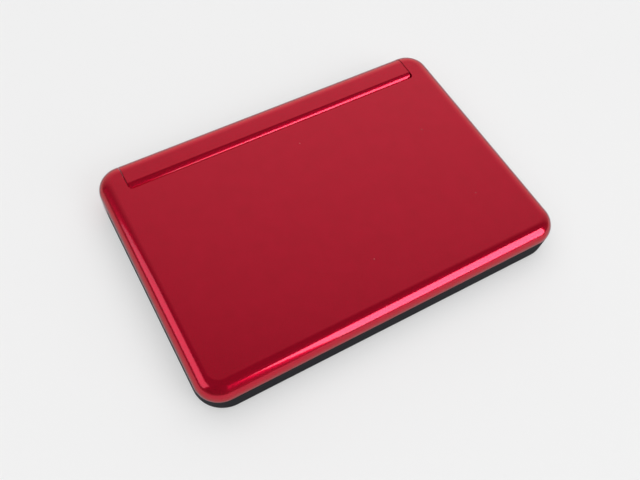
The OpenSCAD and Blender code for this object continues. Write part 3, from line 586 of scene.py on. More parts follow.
# %% [markdown]
# The lid is one shell: the rounded slab above the seam and a knuckle at each back corner,
# which turns about the hinge pin. The wide cut-out between the knuckles is for the barrel.
# It is cut from solids, not drawn face by face, because then each edge lies exactly where
# the hinge needs it.

# %% Lid shell
NOTCH_Y, NOTCH_D, NOTCH_R = BACK_Y - 14.7, 60, 1.8
KNUCKLE_R = 8.0
SWING_R = 10.8
LIP_T = 0.9
ROOF_T = 1.1
HOLLOW_R, HOLLOW_DEEP = 3.6, 3


def spans(near, far):
    """A stretch of X at the left of the case, and the same at the right."""
    return [(-far, -near), (near, far)]


def lid_region():
    """The space that belongs to the lid: above the seam, and around the hinge pins."""
    knuckles = []
    for x0, x1 in spans(NOTCH_X - OVERLAP, SIDE_X + PAST):
        knuckles.append(rod(x0, x1, KNUCKLE_R, HINGE_Y, HINGE_Z))
        knuckles.append(brick((x0, HINGE_Y, HINGE_Z), (x1, BACK_Y + PAST, LID_Z + OVERLAP)))
    return carve(brick((-FAR, -FAR, LID_Z), (FAR, FAR, ABOVE)), knuckles, "UNION")


def lid_shell():
    """The outer shell of the lid with its hollow and the cut-out for the barrel."""
    lid = slab(0, FOOT_H, TOP_Z, LID_EDGE_R, BASE_EDGE_R)
    carve(lid, [lid_region()], "INTERSECT")
    notch = plate(2 * NOTCH_X, NOTCH_D, NOTCH_R, BELOW, ABOVE, 0, NOTCH_Y + NOTCH_D / 2)
    swing = rod(-NOTCH_X, NOTCH_X, SWING_R, HINGE_Y, HINGE_Z)
    hollow = slab(WALL, LID_Z - HOLLOW_DEEP, TOP_Z - ROOF_T, HOLLOW_R, 0)
    lip = SWING_R + LIP_T
    carve(hollow, [
        rod(-FAR, FAR, lip, HINGE_Y, HINGE_Z),
        brick((-FAR, HINGE_Y - lip + 1, 2 * BELOW), (FAR, FAR, ABOVE)),
    ])
    return soften(carve(lid, [notch, swing, hollow]), 0.12)


dress("lid_shell", lid_shell(), RED, "lid", "red_shell", "lid_cover")


# %% [markdown]
# The barrel cover closes the round housing of the two AA cells. Its flat top continues the
# lid, and a crease turns it into the arc that faces the gap. Its section is the same from
# end to end, so one profile is drawn out along the barrel.

# %% Barrel cover
CELL_Y = BACK_Y - 7.9
CELL_Z = 8.4
BAY_R = 7.15
END_WALL = 1.2
CREASE_Y = BACK_Y - 11.5
ARC_Y, ARC_Z = CELL_Y + 0.5, CELL_Z + 0.25
ARC_STEPS = 28


def barrel_cover():
    """The red upper half of the battery barrel."""
    radius = math.hypot(CREASE_Y - ARC_Y, TOP_Z - ARC_Z)
    foot_z = box_mm("hinge_cover")[0][2]
    start = math.asin((foot_z - ARC_Z) / radius)
    end = math.atan2(TOP_Z - ARC_Z, ARC_Y - CREASE_Y)
    front = [start + (end - start) * i / ARC_STEPS for i in range(ARC_STEPS + 1)]
    profile = [(ARC_Y - radius * math.cos(a), ARC_Z + radius * math.sin(a)) for a in front]
    profile += [(BACK_Y - inset, z) for z, inset in round_edge(TOP_Z, LID_EDGE_R, EDGE_STEPS, True)[::-1]]
    profile.append((BACK_Y, foot_z))
    cover = prism(profile, -BARREL_X, BARREL_X, "X")
    carve(cover, [rod(END_WALL - BARREL_X, BARREL_X - END_WALL, BAY_R, CELL_Y, CELL_Z)])
    return soften(cover, 0.15, angle=20)


dress("barrel_cover", barrel_cover(), RED, "base", "red_shell", "hinge_cover")


# %% [markdown]
# The base is a tray of black plastic with a thin wall. Seen from outside it is a dark band
# under the lid, with a rounded lower edge. It starts as a slab with the outline of the lid,
# so that the two agree at the seam. The places of its openings come first.

# %% Places on the base
door_low, door_high = box_mm("battery_door")
stylus_low, stylus_high = box_mm("stylus")
usb_low, usb_high = box_mm("usb_socket")
card_low, card_high = box_mm("card_door")
TONGUE = 1.0
SEAM = 0.15
SLIP = 0.05
BAY_X0 = door_low[0] + TONGUE - SEAM
BAY_X1 = door_high[0] - TONGUE + SEAM
DOOR_TRAVEL = 4.0
DOOR_TOP = FOOT_H + 0.9
DOOR_Y = CELL_Y - 5.2
DOOR_WALL_Y = CELL_Y + 2.6
DOOR_WALL_TOP = FOOT_H + 4.0
TRACK_Y, TRACK_BACK = CELL_Y - 3.85, BACK_Y - 0.9
TRACK_Z = DOOR_TOP - 0.55
HINGE_FLOOR = FOOT_H + 1.9
BRACKET_R = 4.8
PIN_WINDOW_R = 3.4
JACK_Y, JACK_Z, JACK_NOSE_R = -13.273, 5.4, 2.6
CARD_PIN_L, CARD_PIN_R = 0.65, 0.4
SCREWS = [(-69.5, 30.027), (69.5, 30.027), (-68.5, -38.0), (68.5, -38.0), (-22.0, -46.5)]
HEAD_R = 1.7
HEAD_SEAT = FOOT_H + 1.4
FRONT_FOOT_R, BACK_FOOT_R = 3.5, 2.7
FEET = [(-62.0, -42.0, FRONT_FOOT_R), (62.0, -42.0, FRONT_FOOT_R),
        (-59.2, 45.0, BACK_FOOT_R), (59.2, 45.0, BACK_FOOT_R)]
FOOT_TOP = FOOT_H + 0.45
LABEL_W, LABEL_D, LABEL_R, LABEL_DEEP = 62, 26, 1.4, 0.15
_, STYLUS_Y, STYLUS_Z = (stylus_low + stylus_high) / 2
STYLUS_R = (stylus_high[1] - stylus_low[1]) / 2
print("battery bay from", round(BAY_X0, 2), "to", round(BAY_X1, 2), "stylus", STYLUS_Y, STYLUS_Z)


# %% [markdown]
# The tray is the outer slab less a smaller one, which leaves a thin wall. The openings for
# the door, the stylus, the sockets and the screws are cut after the bevel, because a bevel
# would eat the narrow strips between them.

# %% Base shell
RECESS_R = KNUCKLE_R + 0.32
TAIL_Y = HINGE_Y - 5
SILO_WALL, SILO_END, WEB_T = 0.9, 2.5, 2.8
SKIN, FLOOR_T = 0.6, 1.2
BAY_WALL_Y = CELL_Y - 8.72


def hinge_spans(reach):
    """The stretches of X between the battery bay and a reach, at the left and the right."""
    return [(-reach, BAY_X0 - END_WALL), (BAY_X1 + END_WALL, reach)]


def bay_cutters():
    """The battery bay, the opening of its door and the two hinge spaces."""
    cutters = [
        rod(BAY_X0, BAY_X1, BAY_R, CELL_Y, CELL_Z),
        brick((BAY_X0, DOOR_Y, BELOW), (BAY_X1, FAR, DOOR_TOP + SEAM)),
        brick((BAY_X0, DOOR_WALL_Y, BELOW), (BAY_X1, FAR, DOOR_WALL_TOP + SEAM)),
        brick((BAY_X0 - TONGUE, TRACK_Y, TRACK_Z), (BAY_X1 + TONGUE, TRACK_BACK, DOOR_TOP + SEAM)),
    ]
    for x0, x1 in hinge_spans(BARREL_X - END_WALL):
        cutters.append(brick((x0, HINGE_Y - BRACKET_R, HINGE_FLOOR), (x1, HINGE_Y + BRACKET_R, ABOVE)))
    for x0, x1 in hinge_spans(BARREL_X + 1):
        cutters.append(rod(x0, x1, PIN_WINDOW_R, HINGE_Y, HINGE_Z, 48))
    return cutters


def underside_cutters():
    """Screw holes, seats of the feet and the bare recess for a label."""
    cutters = [plate(LABEL_W, LABEL_D, LABEL_R, BELOW, FOOT_H + LABEL_DEEP)]
    cutters += [prism(circle(x, y, HEAD_R + SEAM), BELOW, HEAD_SEAT) for x, y in SCREWS]
    return cutters + [prism(circle(x, y, r + SLIP), BELOW, FOOT_TOP) for x, y, r in FEET]


def side_cutters():
    """Holes in the side walls for the stylus, the sockets and the card door."""
    inside, outside = SIDE_X - WALL - 1, SIDE_X + PAST
    ends = CARD_PIN_L - SEAM
    return [
        rod(stylus_low[0] - OVERLAP, outside, STYLUS_R + SLIP, STYLUS_Y, STYLUS_Z, 64),
        rod(inside, outside, JACK_NOSE_R + SLIP, JACK_Y, JACK_Z, 64),
        brick((inside, usb_low[1] - SLIP, usb_low[2] - SLIP),
              (outside, usb_high[1] + SLIP, usb_high[2] + SLIP)),
        brick((-outside, card_low[1] + ends, card_low[2] - 2 * SLIP),
              (-inside, card_high[1] - ends, card_high[2] + SEAM)),
    ]


def silo_tube():
    """The tube in the tray that holds the stylus, with a web down to the floor."""
    start = stylus_low[0] - SILO_END
    tube = rod(start, SIDE_X - SKIN, STYLUS_R + SILO_WALL, STYLUS_Y, STYLUS_Z, 64)
    web = brick((start, STYLUS_Y - WEB_T / 2, FOOT_H + SKIN), (SIDE_X - 1, STYLUS_Y + WEB_T / 2, STYLUS_Z))
    room = slab(SKIN, FOOT_H, RIM_Z, 0, BASE_EDGE_R - SKIN, BASE_DRAW_IN)
    return carve(carve(tube, [web], "UNION"), [room], "INTERSECT")


def base_shell():
    """The black tray under the deck, with the lower half of the barrel."""
    base = slab(0, FOOT_H, TOP_Z, LID_EDGE_R, BASE_EDGE_R, BASE_DRAW_IN)
    cutters = [brick((-FAR, -FAR, RIM_Z), (FAR, FAR, ABOVE))]
    for x0, x1 in spans(BARREL_X, SIDE_X + PAST):
        cutters.append(rod(x0, x1, RECESS_R, HINGE_Y, HINGE_Z))
        cutters.append(brick((x0, TAIL_Y, BELOW), (x1, FAR, ABOVE)))
    tray = slab(WALL, FOOT_H + FLOOR_T, TOP_Z, 0, BASE_EDGE_R - WALL, BASE_DRAW_IN)
    carve(tray, [brick((-FAR, BAY_WALL_Y, BELOW), (FAR, FAR, ABOVE))])
    soften(carve(base, cutters + [tray]), 0.2)
    carve(base, [silo_tube()], "UNION")
    return crisp(carve(base, bay_cutters() + underside_cutters() + side_cutters()))


dress("base_shell", base_shell(), BLACK, "base", "black_case", "bottom_case")


# %% [markdown]
# Flat plates with many holes, such as the keyboard deck, start as a filled 2D curve: the
# first outline is the edge and the others are holes. Blender fills the shape between them,
# gives it thickness and rounds both edges, and the result becomes a clean closed mesh.

# %% Plates with holes
def cut_plate(outlines, z0, z1, edge=0.12):
    """A flat plate from closed outlines, with rounded edges of the given radius."""
    curve = bpy.data.curves.new("outlines", "CURVE")
    curve.dimensions = "2D"
    curve.fill_mode = "BOTH"
    curve.extrude = ((z1 - z0) / 2 - edge) * MM
    curve.bevel_depth = edge * MM
    curve.bevel_resolution = 2
    curve.offset = -edge * MM
    for outline in outlines:
        spline = curve.splines.new("POLY")
        spline.points.add(len(outline) - 1)
        spline.use_cyclic_u = True
        for point, (x, y) in zip(spline.points, outline):
            point.co = (x * MM, y * MM, 0, 1)
    drawn = new_object("outlines", curve)
    mesh = evaluated_mesh(drawn)
    bpy.data.objects.remove(drawn)
    mesh.transform(Matrix.Translation((0, 0, (z0 + z1) / 2 * MM)))
    return crisp(new_object("plate", cleaned(mesh, MERGE_GAP)))


# %% [markdown]
# The keys' places come from the frame. Each box also holds the key's hidden flange, which
# is 0.6 mm wider all round than the cap that shows.

# %% Places of the keys
FLANGE = 0.6
CAP_R = 1.4
KEY_GAP = 0.25
DECK_TOP = box_mm("keyboard_deck")[1][2]
DECK_T, LIP_H = 1.0, 1.2
DECK_Z = DECK_TOP - LIP_H
DECK_LOW = DECK_Z - DECK_T


def key_place(node):
    """Middle, width, depth and corner radius of a node's single cap."""
    low, high = box_mm(node)
    middle, size = (low + high) / 2, high - low - 2 * FLANGE
    return (middle[0], middle[1], size[0], size[1], size[0] / 2 if node == "enter_key" else CAP_R)


def row_places(node, count):
    """The same for each cap of a row of letter keys."""
    low, high = box_mm(node)
    wide = key_place("delete_key")[2]
    first, last = low[0] + FLANGE + wide / 2, high[0] - FLANGE - wide / 2
    middle_y, deep = (low[1] + high[1]) / 2, high[1] - low[1] - 2 * FLANGE
    step = (last - first) / (count - 1)
    return [(first + i * step, middle_y, wide, deep, CAP_R) for i in range(count)]


LETTERS = {"letter_row_1": "QWERTYUIOP", "letter_row_2": "ASDFGHJKL", "letter_row_3": "ZXCVBNM-?"}
GREY_KEYS = [word + "_key" for word in (
    "power", "shift", "delete", "back", "voice", "page_up", "page_down", "up", "down", "left", "right")]
NUMBERS = {"function_key_%d" % i: str(i) for i in range(1, 7)}
PLACES = {node: row_places(node, len(word)) for node, word in LETTERS.items()}
PLACES.update({node: [key_place(node)] for node in [*GREY_KEYS, *NUMBERS, "enter_key"]})
KEY_SLOT = {node: "letter_keys" if node in (*LETTERS, "enter_key") else "grey_keys" for node in PLACES}
KEY_TOP = box_mm("power_key")[1][2]
print("keys:", sum(len(p) for p in PLACES.values()), "tops at", round(KEY_TOP, 2))


# %% [markdown]
# The deck is the plate around the keys. It has a window for the handwriting pad, slots in
# front of the speaker and a lip that hides the gap to the lid. It is satin black ABS, so it
# shows fewer fingerprints than gloss and lets the pale keys stand out.

# %% Keyboard deck
DECK_INSET = WALL + 0.15
DECK_BACK = CELL_Y - 8.873
LIP_W, LIP_ROOT = 0.8, 0.2
LIP_BACK = HINGE_Y - SWING_R - LIP_T - 1
PAD_W, PAD_D, PAD_FRONT = 56.0, 24.0, 13.5
PAD_Y = box_mm("sub_display")[0][1] + PAD_FRONT
SLOTS, SLOT_W, SLOT_D, SLOT_R = 8, 1.0, 6.4, 0.49
SLOT_PITCH, SLOT_SHIFT = 2.8, 0.4
PILLAR_R, PILLAR_FOOT = 2.2, 5.05
speaker_low, speaker_high = box_mm("speaker")
SPEAKER_X, SPEAKER_Y, _ = (speaker_low + speaker_high) / 2
SATIN = moulded("black_satin_abs", "#252427", roughness=0.42, depth=0.004)


def keyboard_deck():
    """The plate around the keys, with its lip and its screw pillars."""
    outlines = [inner_outline(DECK_INSET, DECK_BACK)]
    for places in PLACES.values():
        for x, y, w, d, r in places:
            outlines.append(rounded(w + 2 * KEY_GAP, d + 2 * KEY_GAP, r + KEY_GAP, 5, x, y))
    outlines.append(rounded(PAD_W, PAD_D, 1, 5, 0, PAD_Y))
    for i in range(SLOTS):
        slot_x = SPEAKER_X + (i - (SLOTS - 1) / 2) * SLOT_PITCH
        outlines.append(rounded(SLOT_W, SLOT_D, SLOT_R, 5, slot_x, SPEAKER_Y - SLOT_SHIFT))
    deck = cut_plate(outlines, DECK_LOW, DECK_Z)
    outer = inner_outline(DECK_INSET, LIP_BACK)
    inner = inner_outline(DECK_INSET + LIP_W, LIP_BACK)
    lip = [outer[-1]] + outer[:-1] + [inner[-2]] + inner[:-2][::-1] + [inner[-1]]
    pillars = [prism(circle(x, y, PILLAR_R, 32), PILLAR_FOOT, DECK_Z - 0.3) for x, y in SCREWS]
    return crisp(carve(deck, [cut_plate([lip], DECK_Z - LIP_ROOT, DECK_TOP, 0.2)] + pillars, "UNION"))


dress("keyboard_deck_plate", keyboard_deck(), SATIN, "base", "deck", "keyboard_deck")


# %% [markdown]
# Each key is one moulded cap of smooth ABS with a soft highlight, pearl white for letters
# and slate grey for the rest. Its top is dished by 0.2 mm to centre the finger, and its
# edge is rounded. Rings of points run from the flange under the deck, up the skirt, over
# the edge and into the dish, so the surface has no flat facet where light would break.
# Under it, a short pin presses the rubber dome.

# %% Key caps
DISH = 0.2
CAP_EDGE = 0.45
DISH_SHARES = [0.85, 0.68, 0.5, 0.32, 0.14]
FLANGE_T, PIN_R, PIN_L = 0.6, 1.6, 0.7


def cap_rings(x, y, w, d, r):
    """Rings of one key cap, from its flange to the middle of its dish."""
    flange_z = DECK_LOW - 0.05
    levels = [(flange_z - FLANGE_T, -FLANGE), (flange_z, -FLANGE), (flange_z, 0.0)]
    rings = []
    for z, inset in levels + round_edge(KEY_TOP, CAP_EDGE, 4, True):
        rings.append(raised(rounded(w - 2 * inset, d - 2 * inset, r - inset, 5, x, y), z))
    rim = rings[-1]
    for share in DISH_SHARES:
        depth = DISH * (1 - share ** 2)
        rings.append([(x + share * (a - x), y + share * (b - y), z - depth) for a, b, z in rim])
    return rings


def pin_rings(x, y):
    """Rings of the short pin under a key."""
    top = DECK_LOW - FLANGE_T
    return [raised(circle(x, y, PIN_R, 20), z) for z in (top - PIN_L, top)]


CAP_PLASTICS = {
    "letter_keys": moulded("pearl_white_abs", "#d9d8da", roughness=0.36, depth=0.002),
    "grey_keys": moulded("slate_grey_abs", "#6f6e74", roughness=0.4, depth=0.003),
}
for node, places in PLACES.items():
    caps = stack(*[rings for p in places for rings in (cap_rings(*p), pin_rings(p[0], p[1]))])
    dress(node + "_caps", crisp(caps, 40), CAP_PLASTICS[KEY_SLOT[node]], node, KEY_SLOT[node], node)


# %% [markdown]
# The legends are pad-printed ink: thin, sharp and matt. An image could be laid on the keys,
# but thin solids stay sharp from near and need no file. Letters come from Blender's own
# font, and the symbols are plain shapes drawn from points.

# %% Letters as shapes
def glyph(word, height):
    """Points and faces of some text, flat, in millimetres, around its own middle."""
    data = bpy.data.curves.new("word", "FONT")
    data.body = word
    data.size = height * MM
    data.resolution_u = 4
    data.extrude = 0.5 * MM
    holder = new_object("word", data)
    mesh = cleaned(evaluated_mesh(holder), MERGE_GAP)
    bpy.data.objects.remove(holder)
    points = [tuple(v.co / MM) for v in mesh.vertices]
    faces = [list(f.vertices) for f in mesh.polygons]
    bpy.data.meshes.remove(mesh)
    middle = (np.min(points, axis=0) + np.max(points, axis=0)) / 2
    return [(x - middle[0], y - middle[1], 1 if z > 0 else 0) for x, y, z in points], faces


def shape(*outlines):
    """Points and faces of a symbol made of flat outlines, from level 0 to level 1."""
    return closed(*[[raised(outline, level) for level in (0, 1)] for outline in outlines])


def triangle(turn, size, x=0, y=0):
    """A triangle that points up when turn is 0, anticlockwise in degrees."""
    angles = [math.radians(turn + 90 + 120 * i) for i in range(3)]
    return [(x + size * math.cos(a), y + size * math.sin(a)) for a in angles]


def arc(radius, width, start, end, x=0.0, y=0.0, steps=20):
    """A curved stroke between two angles in degrees."""
    turns = [math.radians(start + (end - start) * i / steps) for i in range(steps + 1)]
    outer, inner = [[(x + r * math.cos(t), y + r * math.sin(t)) for t in turns]
                    for r in (radius, radius - width)]
    return outer + inner[::-1]


SYMBOLS = {
    "power_key": shape(arc(1.25, 0.3, 120, 420), bar(-0.16, 0.1, 0.16, 1.6)),
    "shift_key": shape([(0, 1.5), (1.4, 0), (0.6, 0), (0.6, -1.2), (-0.6, -1.2), (-0.6, 0), (-1.4, 0)]),
    "delete_key": shape([(-1.8, 0), (-0.7, 1.1), (-0.7, 0.35), (1.2, 0.35), (1.2, -0.35), (-0.7, -0.35),
                         (-0.7, -1.1)], bar(1.5, -1.1, 1.8, 1.1)),
    "back_key": shape([(-1.7, 0.4), (-0.6, 1.3), (-0.6, 0.65), (0.9, 0.65), (1.5, 0.05), (1.5, -1.1),
                       (0.9, -1.1), (0.9, -0.2), (0.6, 0.15), (-0.6, 0.15), (-0.6, -0.5)]),
    "voice_key": shape([(-1.6, -0.5), (-1.0, -0.5), (-0.2, -1.2), (-0.2, 1.2), (-1.0, 0.5), (-1.6, 0.5)],
                       arc(0.9, 0.22, -50, 50), arc(1.6, 0.22, -50, 50)),
    "page_up_key": shape(triangle(0, 1.1), bar(-1.1, 1.3, 1.1, 1.6)),
    "page_down_key": shape(triangle(180, 1.1), bar(-1.1, -1.6, 1.1, -1.3)),
    "enter_key": shape([(-1.7, -0.5), (-0.6, 0.5), (-0.6, -0.25), (1.0, -0.25), (1.0, 1.2), (1.5, 1.2),
                        (1.5, -0.75), (-0.6, -0.75), (-0.6, -1.5)]),
}
SYMBOLS.update({word + "_key": shape(triangle(turn, 1.3)) for word, turn in (
    ("up", 0), ("down", 180), ("left", 90), ("right", 270))})
SYMBOLS.update({node: glyph(number, 3.6) for node, number in NUMBERS.items()})
print("symbols:", len(SYMBOLS))


# %% [markdown]
# A flat letter on a dished cap would float at its middle or sink at its ends. So each point
# of a mark is set at the height of the cap under it, a little above it or a little below.

# %% Print the legends
INK = 0.03
LETTER_SIZE = 4.6
INKS = {
    "letter_keys": moulded("dark_grey_printing_ink", "#3a3a40", roughness=0.7, depth=0.001),
    "grey_keys": moulded("white_printing_ink", "#e8e8ea", roughness=0.7, depth=0.001),
}


def on_cap(place, x, y, level):
    """Height of the lower or upper side of the ink at a point of a dished cap."""
    middle_x, middle_y, w, d, r = place
    share = max(abs(x - middle_x) / (w / 2 - CAP_EDGE), abs(y - middle_y) / (d / 2 - CAP_EDGE))
    return KEY_TOP - DISH * (1 - min(share, 1.0) ** 2) + (INK if level else -INK)


def print_marks(marks, height, turn=1):
    """One mesh of marks, each given as its place and its shape. A function gives the height
    of a point, and turn is -1 for marks that are read with the lid open."""
    vertices, faces = [], []
    for place, (points, outlines) in marks:
        start = len(vertices)
        for u, v, level in points:
            x, y = place[0] + u, place[1] + turn * v
            vertices.append((x, y, height(place, x, y, level)))
        faces += [[start + k for k in outline] for outline in outlines]
    return make_piece(vertices, faces)


for node, places in PLACES.items():
    shapes = [glyph(c, LETTER_SIZE) for c in LETTERS[node]] if node in LETTERS else [SYMBOLS[node]]
    legend = print_marks(zip(places, shapes), on_cap)
    dress(node + "_legend", legend, INKS[KEY_SLOT[node]], node, KEY_SLOT[node])


# %% [markdown]
# Both displays are off. A liquid crystal display that is off is a dark, smooth sheet of
# glass with a polariser on it, in a black frame. The window is bonded to it, so the glass
# and the border mirror little by themselves, and the gloss comes from the window. The
# pad's sheet is a little lighter, because a touch film of polyester lies on it.

# %% Display finishes
def cloudy(name, first, second, size, **constants):
    """A smooth finish that drifts between two colours over a size in millimetres."""
    material, tree, shader, where = new_material(name, **constants)
    cloud = add_node(tree, "TexNoise", where, Scale=1 / (size * MM), Detail=2.0)[0]
    tone = add_node(tree, "Mix", data_type="RGBA", Factor=cloud, A=first, B=second)
    fill(shader, Base_Color=tone["Result"])
    return material


def polariser(name, colour, roughness, level=0.5):
    """Display glass under a polariser film, with a faint unevenness of the film."""
    shade = [0.8 * c for c in linear(colour)[:3]] + [1.0]
    return cloudy(name, colour, shade, 18, Roughness=roughness, IOR=1.5, Specular_IOR_Level=level)


SCREEN = polariser("display_polariser_film", "#343b44", 0.12, 0.15)
PAD_SCREEN = polariser("matt_touch_film", "#6f7a72", 0.32)
GLOSS_BLACK = polariser("black_screen_printed_border", "#0d0d10", 0.2, 0.1)
# Clear cast acrylic is polished, and its hard coat halves its reflections.
ACRYLIC = cloudy("clear_cast_acrylic", "#f4f6f6", "#fbfcfc", 6, Roughness=0.02, IOR=1.49,
                 Transmission_Weight=1.0, Specular_IOR_Level=0.25)


# %% [markdown]
# The handwriting pad is a small display under a touch film, in a printed border. These are
# three thin solids, one on the other, because each has a gloss of its own.

# %% Handwriting pad
module_low, module_high = box_mm("sub_display")
PAD_Z = module_high[2]
FILM_T = 0.24
pad_body = brick(module_low, module_high - np.array([0, 0, FILM_T + 0.01]))
dress("pad_module", soften(pad_body, 0.3), GLOSS_BLACK, "base", "display", "sub_display")
pad_sheet = plate(PAD_W + 3, PAD_D + 1.6, 0.8, PAD_Z - FILM_T, PAD_Z, 0, PAD_Y)
dress("pad_touch_film", soften(pad_sheet, 0.06), PAD_SCREEN, "base", "display")


def flat_frame(width, depth, radius, inner_r, side, end, y, z0, z1):
    """A printed frame with its borders at the sides and at the ends."""
    outer = rounded(width, depth, radius, 6, 0, y)
    inner = rounded(width - 2 * side, depth - 2 * end, inner_r, 6, 0, y)
    return cut_plate([outer, inner], z0, z1, 0.01)


pad_border = flat_frame(PAD_W + 2.4, PAD_D + 1.2, 1.0, 0.6, 2.6, 2.6, PAD_Y, PAD_Z - 0.04, PAD_Z + 0.04)
dress("pad_border", pad_border, GLOSS_BLACK, "base", "display")


# %% [markdown]
# Inside the lid, a satin bezel holds the clear window. The window is a real sheet of acrylic
# in front of the display, not a gloss on it, so its thickness shows when the lid is open.

# %% Bezel and window
window_low, window_high = box_mm("display_window")
WINDOW_W, WINDOW_D, _ = window_high - window_low
VIEW_Y = (window_low[1] + window_high[1]) / 2
BEZEL_Z = LID_Z + 1.0
BEZEL_BACK = HINGE_Y - SWING_R - LIP_T - SEAM
BUMPERS = [(side * 69.3, y) for side in (-1, 1) for y in (BEZEL_BACK - 15.8, -40.0)]
BUMPER_R = 1.9
WINDOW_R, WINDOW_GAP = 2.0, 0.1
BEZEL_T = 1.0
BORDER_Z = window_high[2] - 0.02


def display_bezel():
    """The plate around the window, with holes for the four bumpers."""
    outlines = [inner_outline(DECK_INSET, BEZEL_BACK)]
    gap, hole = WINDOW_GAP, BUMPER_R + WINDOW_GAP
    outlines.append(rounded(WINDOW_W + 2 * gap, WINDOW_D + 2 * gap, WINDOW_R + gap, 6, 0, VIEW_Y))
    outlines += [rounded(2 * hole, 2 * hole, hole - 0.001, 8, x, y) for x, y in BUMPERS]
    return cut_plate(outlines, BEZEL_Z, BEZEL_Z + BEZEL_T, 0.15)


dress("lid_bezel", display_bezel(), SATIN, "lid", "deck", "display_bezel")
window = plate(WINDOW_W, WINDOW_D, WINDOW_R, window_low[2], BORDER_Z - 0.04, 0, VIEW_Y)
dress("clear_window", soften(window, 0.12), ACRYLIC, "lid", "window", "display_window")


# %% [markdown]
# The display lies behind the window. Its black border carries two columns of touch icons,
# printed in the same way as the legends. They are simple shapes, upright for someone who
# looks at the open lid.

# %% Main display
BORDER_SIDE, BORDER_END, BORDER_T = 10.0, 6.0, 0.06
ICON_INK = 0.02
panel_low, panel_high = box_mm("display_panel")
panel_w, panel_d, _ = panel_high - panel_low
panel = plate(panel_w, panel_d, 1, panel_low[2] + 0.02, panel_high[2], 0, VIEW_Y)
dress("display_glass", soften(panel, 0.1), SCREEN, "lid", "display", "display_panel")
border = flat_frame(WINDOW_W - 2 * SLIP, WINDOW_D - 2 * SLIP, WINDOW_R, 0.5,
                    BORDER_SIDE - SLIP, BORDER_END - SLIP, VIEW_Y, BORDER_Z, BORDER_Z + BORDER_T)
dress("display_border", border, GLOSS_BLACK, "lid", "display")

ICONS = [
    shape(triangle(0, 1.6)), shape(triangle(180, 1.6)),
    shape(arc(1.5, 0.35, 0, 359), bar(-0.17, -0.8, 0.17, 0.8)),
    shape(bar(-1.5, 0.8, 1.5, 1.15), bar(-1.5, -0.17, 1.5, 0.17), bar(-1.5, -1.15, 1.5, -0.8)),
    shape(arc(1.1, 0.3, 0, 359, -0.4, 0.4), [(0.3, -0.5), (0.55, -0.25), (1.5, -1.2), (1.25, -1.45)]),
]
ICON_X, ICON_STEP = (WINDOW_W - BORDER_SIDE) / 2, panel_d / (len(ICONS) + 1)


def on_border(place, x, y, level):
    """Height of the ink on the display's border, which is flat. It is seen from below."""
    return BORDER_Z - (ICON_INK if level else 0.0)


icons = [((side * ICON_X, VIEW_Y + (i - (len(ICONS) - 1) / 2) * ICON_STEP), icon)
         for side in (-1, 1) for i, icon in enumerate(ICONS)]
dress("touch_icons", print_marks(icons, on_border, -1), INKS["grey_keys"], "lid", "display")


# %% [markdown]
# The small rubber parts keep the lid off the deck and the case off the table. They are
# moulded, so their edges are round, and the rubber is matt because it is slightly porous.

# %% Rubber feet and bumpers
RUBBER = moulded("black_moulded_rubber", "#19191a", roughness=0.85, depth=0.02)


def domed_disc(x, y, radius, z_face, z_back, edge):
    """Rings of a disc with a rounded edge at its lower face."""
    levels = round_edge(z_face, edge, 5) + [(z_back, 0.0)]
    return [raised(circle(x, y, radius - inset, 40), z) for z, inset in levels]


feet = [domed_disc(x, y, r, 0, FOOT_TOP - SLIP, 0.3) for x, y, r in FEET]
dress("rubber_feet_moulded", crisp(stack(*feet)), RUBBER, "base", "rubber", "rubber_feet")
bumper_low, bumper_high = box_mm("lid_bumpers")
bumpers = [domed_disc(x, y, BUMPER_R, bumper_low[2], bumper_high[2], 0.5) for x, y in BUMPERS]
dress("lid_bumpers_moulded", crisp(stack(*bumpers)), RUBBER, "lid", "rubber", "lid_bumpers")


# %% [markdown]
# Screws, contacts, pins and brackets are cold-formed steel with a bright nickel plating. A
# metal keeps the default IOR. The case screws have a cross recess, which is cut from the
# head with two thin blocks. Their threads stay hidden in the pillars and are left plain.

# %% Plated steel and screws
# Real drawing marks are finer than this. They are drawn coarser, so that they show.
DRAW_MARKS = 0.3
SHANK_R = 0.8
CROSS_LONG, CROSS_THIN, CROSS_DEEP = 0.62, 0.13, 0.45


def plated_steel():
    """Nickel-plated steel with faint drawing marks along X, 0.3 mm apart."""
    material, tree, shader, where = new_material("nickel_plated_steel", Metallic=1.0, Base_Color="#b9b8b4")
    drawn = add_node(tree, "Mapping", where, Scale=(0.05, 1, 1))[0]
    marks = add_node(tree, "TexNoise", drawn, Scale=1 / (DRAW_MARKS * MM), Detail=4.0)[0]
    fill(shader, Roughness=add_node(tree, "MapRange", marks, To_Min=0.22, To_Max=0.42)[0])
    return material


STEEL = plated_steel()


def cross_screws(places, z_face, z_seat, z_tip, radius, shank):
    """Pan-head screws with a cross recess, heads down."""
    levels = [(z_face, radius - 0.35), (z_face + 0.12, radius - 0.12), (z_face + 0.3, radius),
              (z_seat, radius), (z_seat, shank), (z_tip - 0.4, shank), (z_tip, 0.5 * shank)]
    screws = stack(*[[raised(circle(x, y, r, 32), z) for z, r in levels] for x, y in places])
    long, thin = CROSS_LONG * radius, CROSS_THIN * radius
    slots = [brick((x - a, y - b, z_face - 1), (x + a, y + b, z_face + CROSS_DEEP))
             for x, y in places for a, b in ((long, thin), (thin, long))]
    return crisp(carve(screws, slots))


screw_low, screw_high = box_mm("case_screws")
heads = cross_screws(SCREWS, screw_low[2], HEAD_SEAT - 0.02, screw_high[2], HEAD_R, SHANK_R)
dress("case_screws_cross", heads, STEEL, "base", "steel", "case_screws")


# %% [markdown]
# The battery door closes the barrel from below. It slides back on two tongues. Its grip is
# a set of grooves, and a small triangle shows which way to push. It is what the case's slab
# and the door's space have in common, so it carries on the outline of the base.

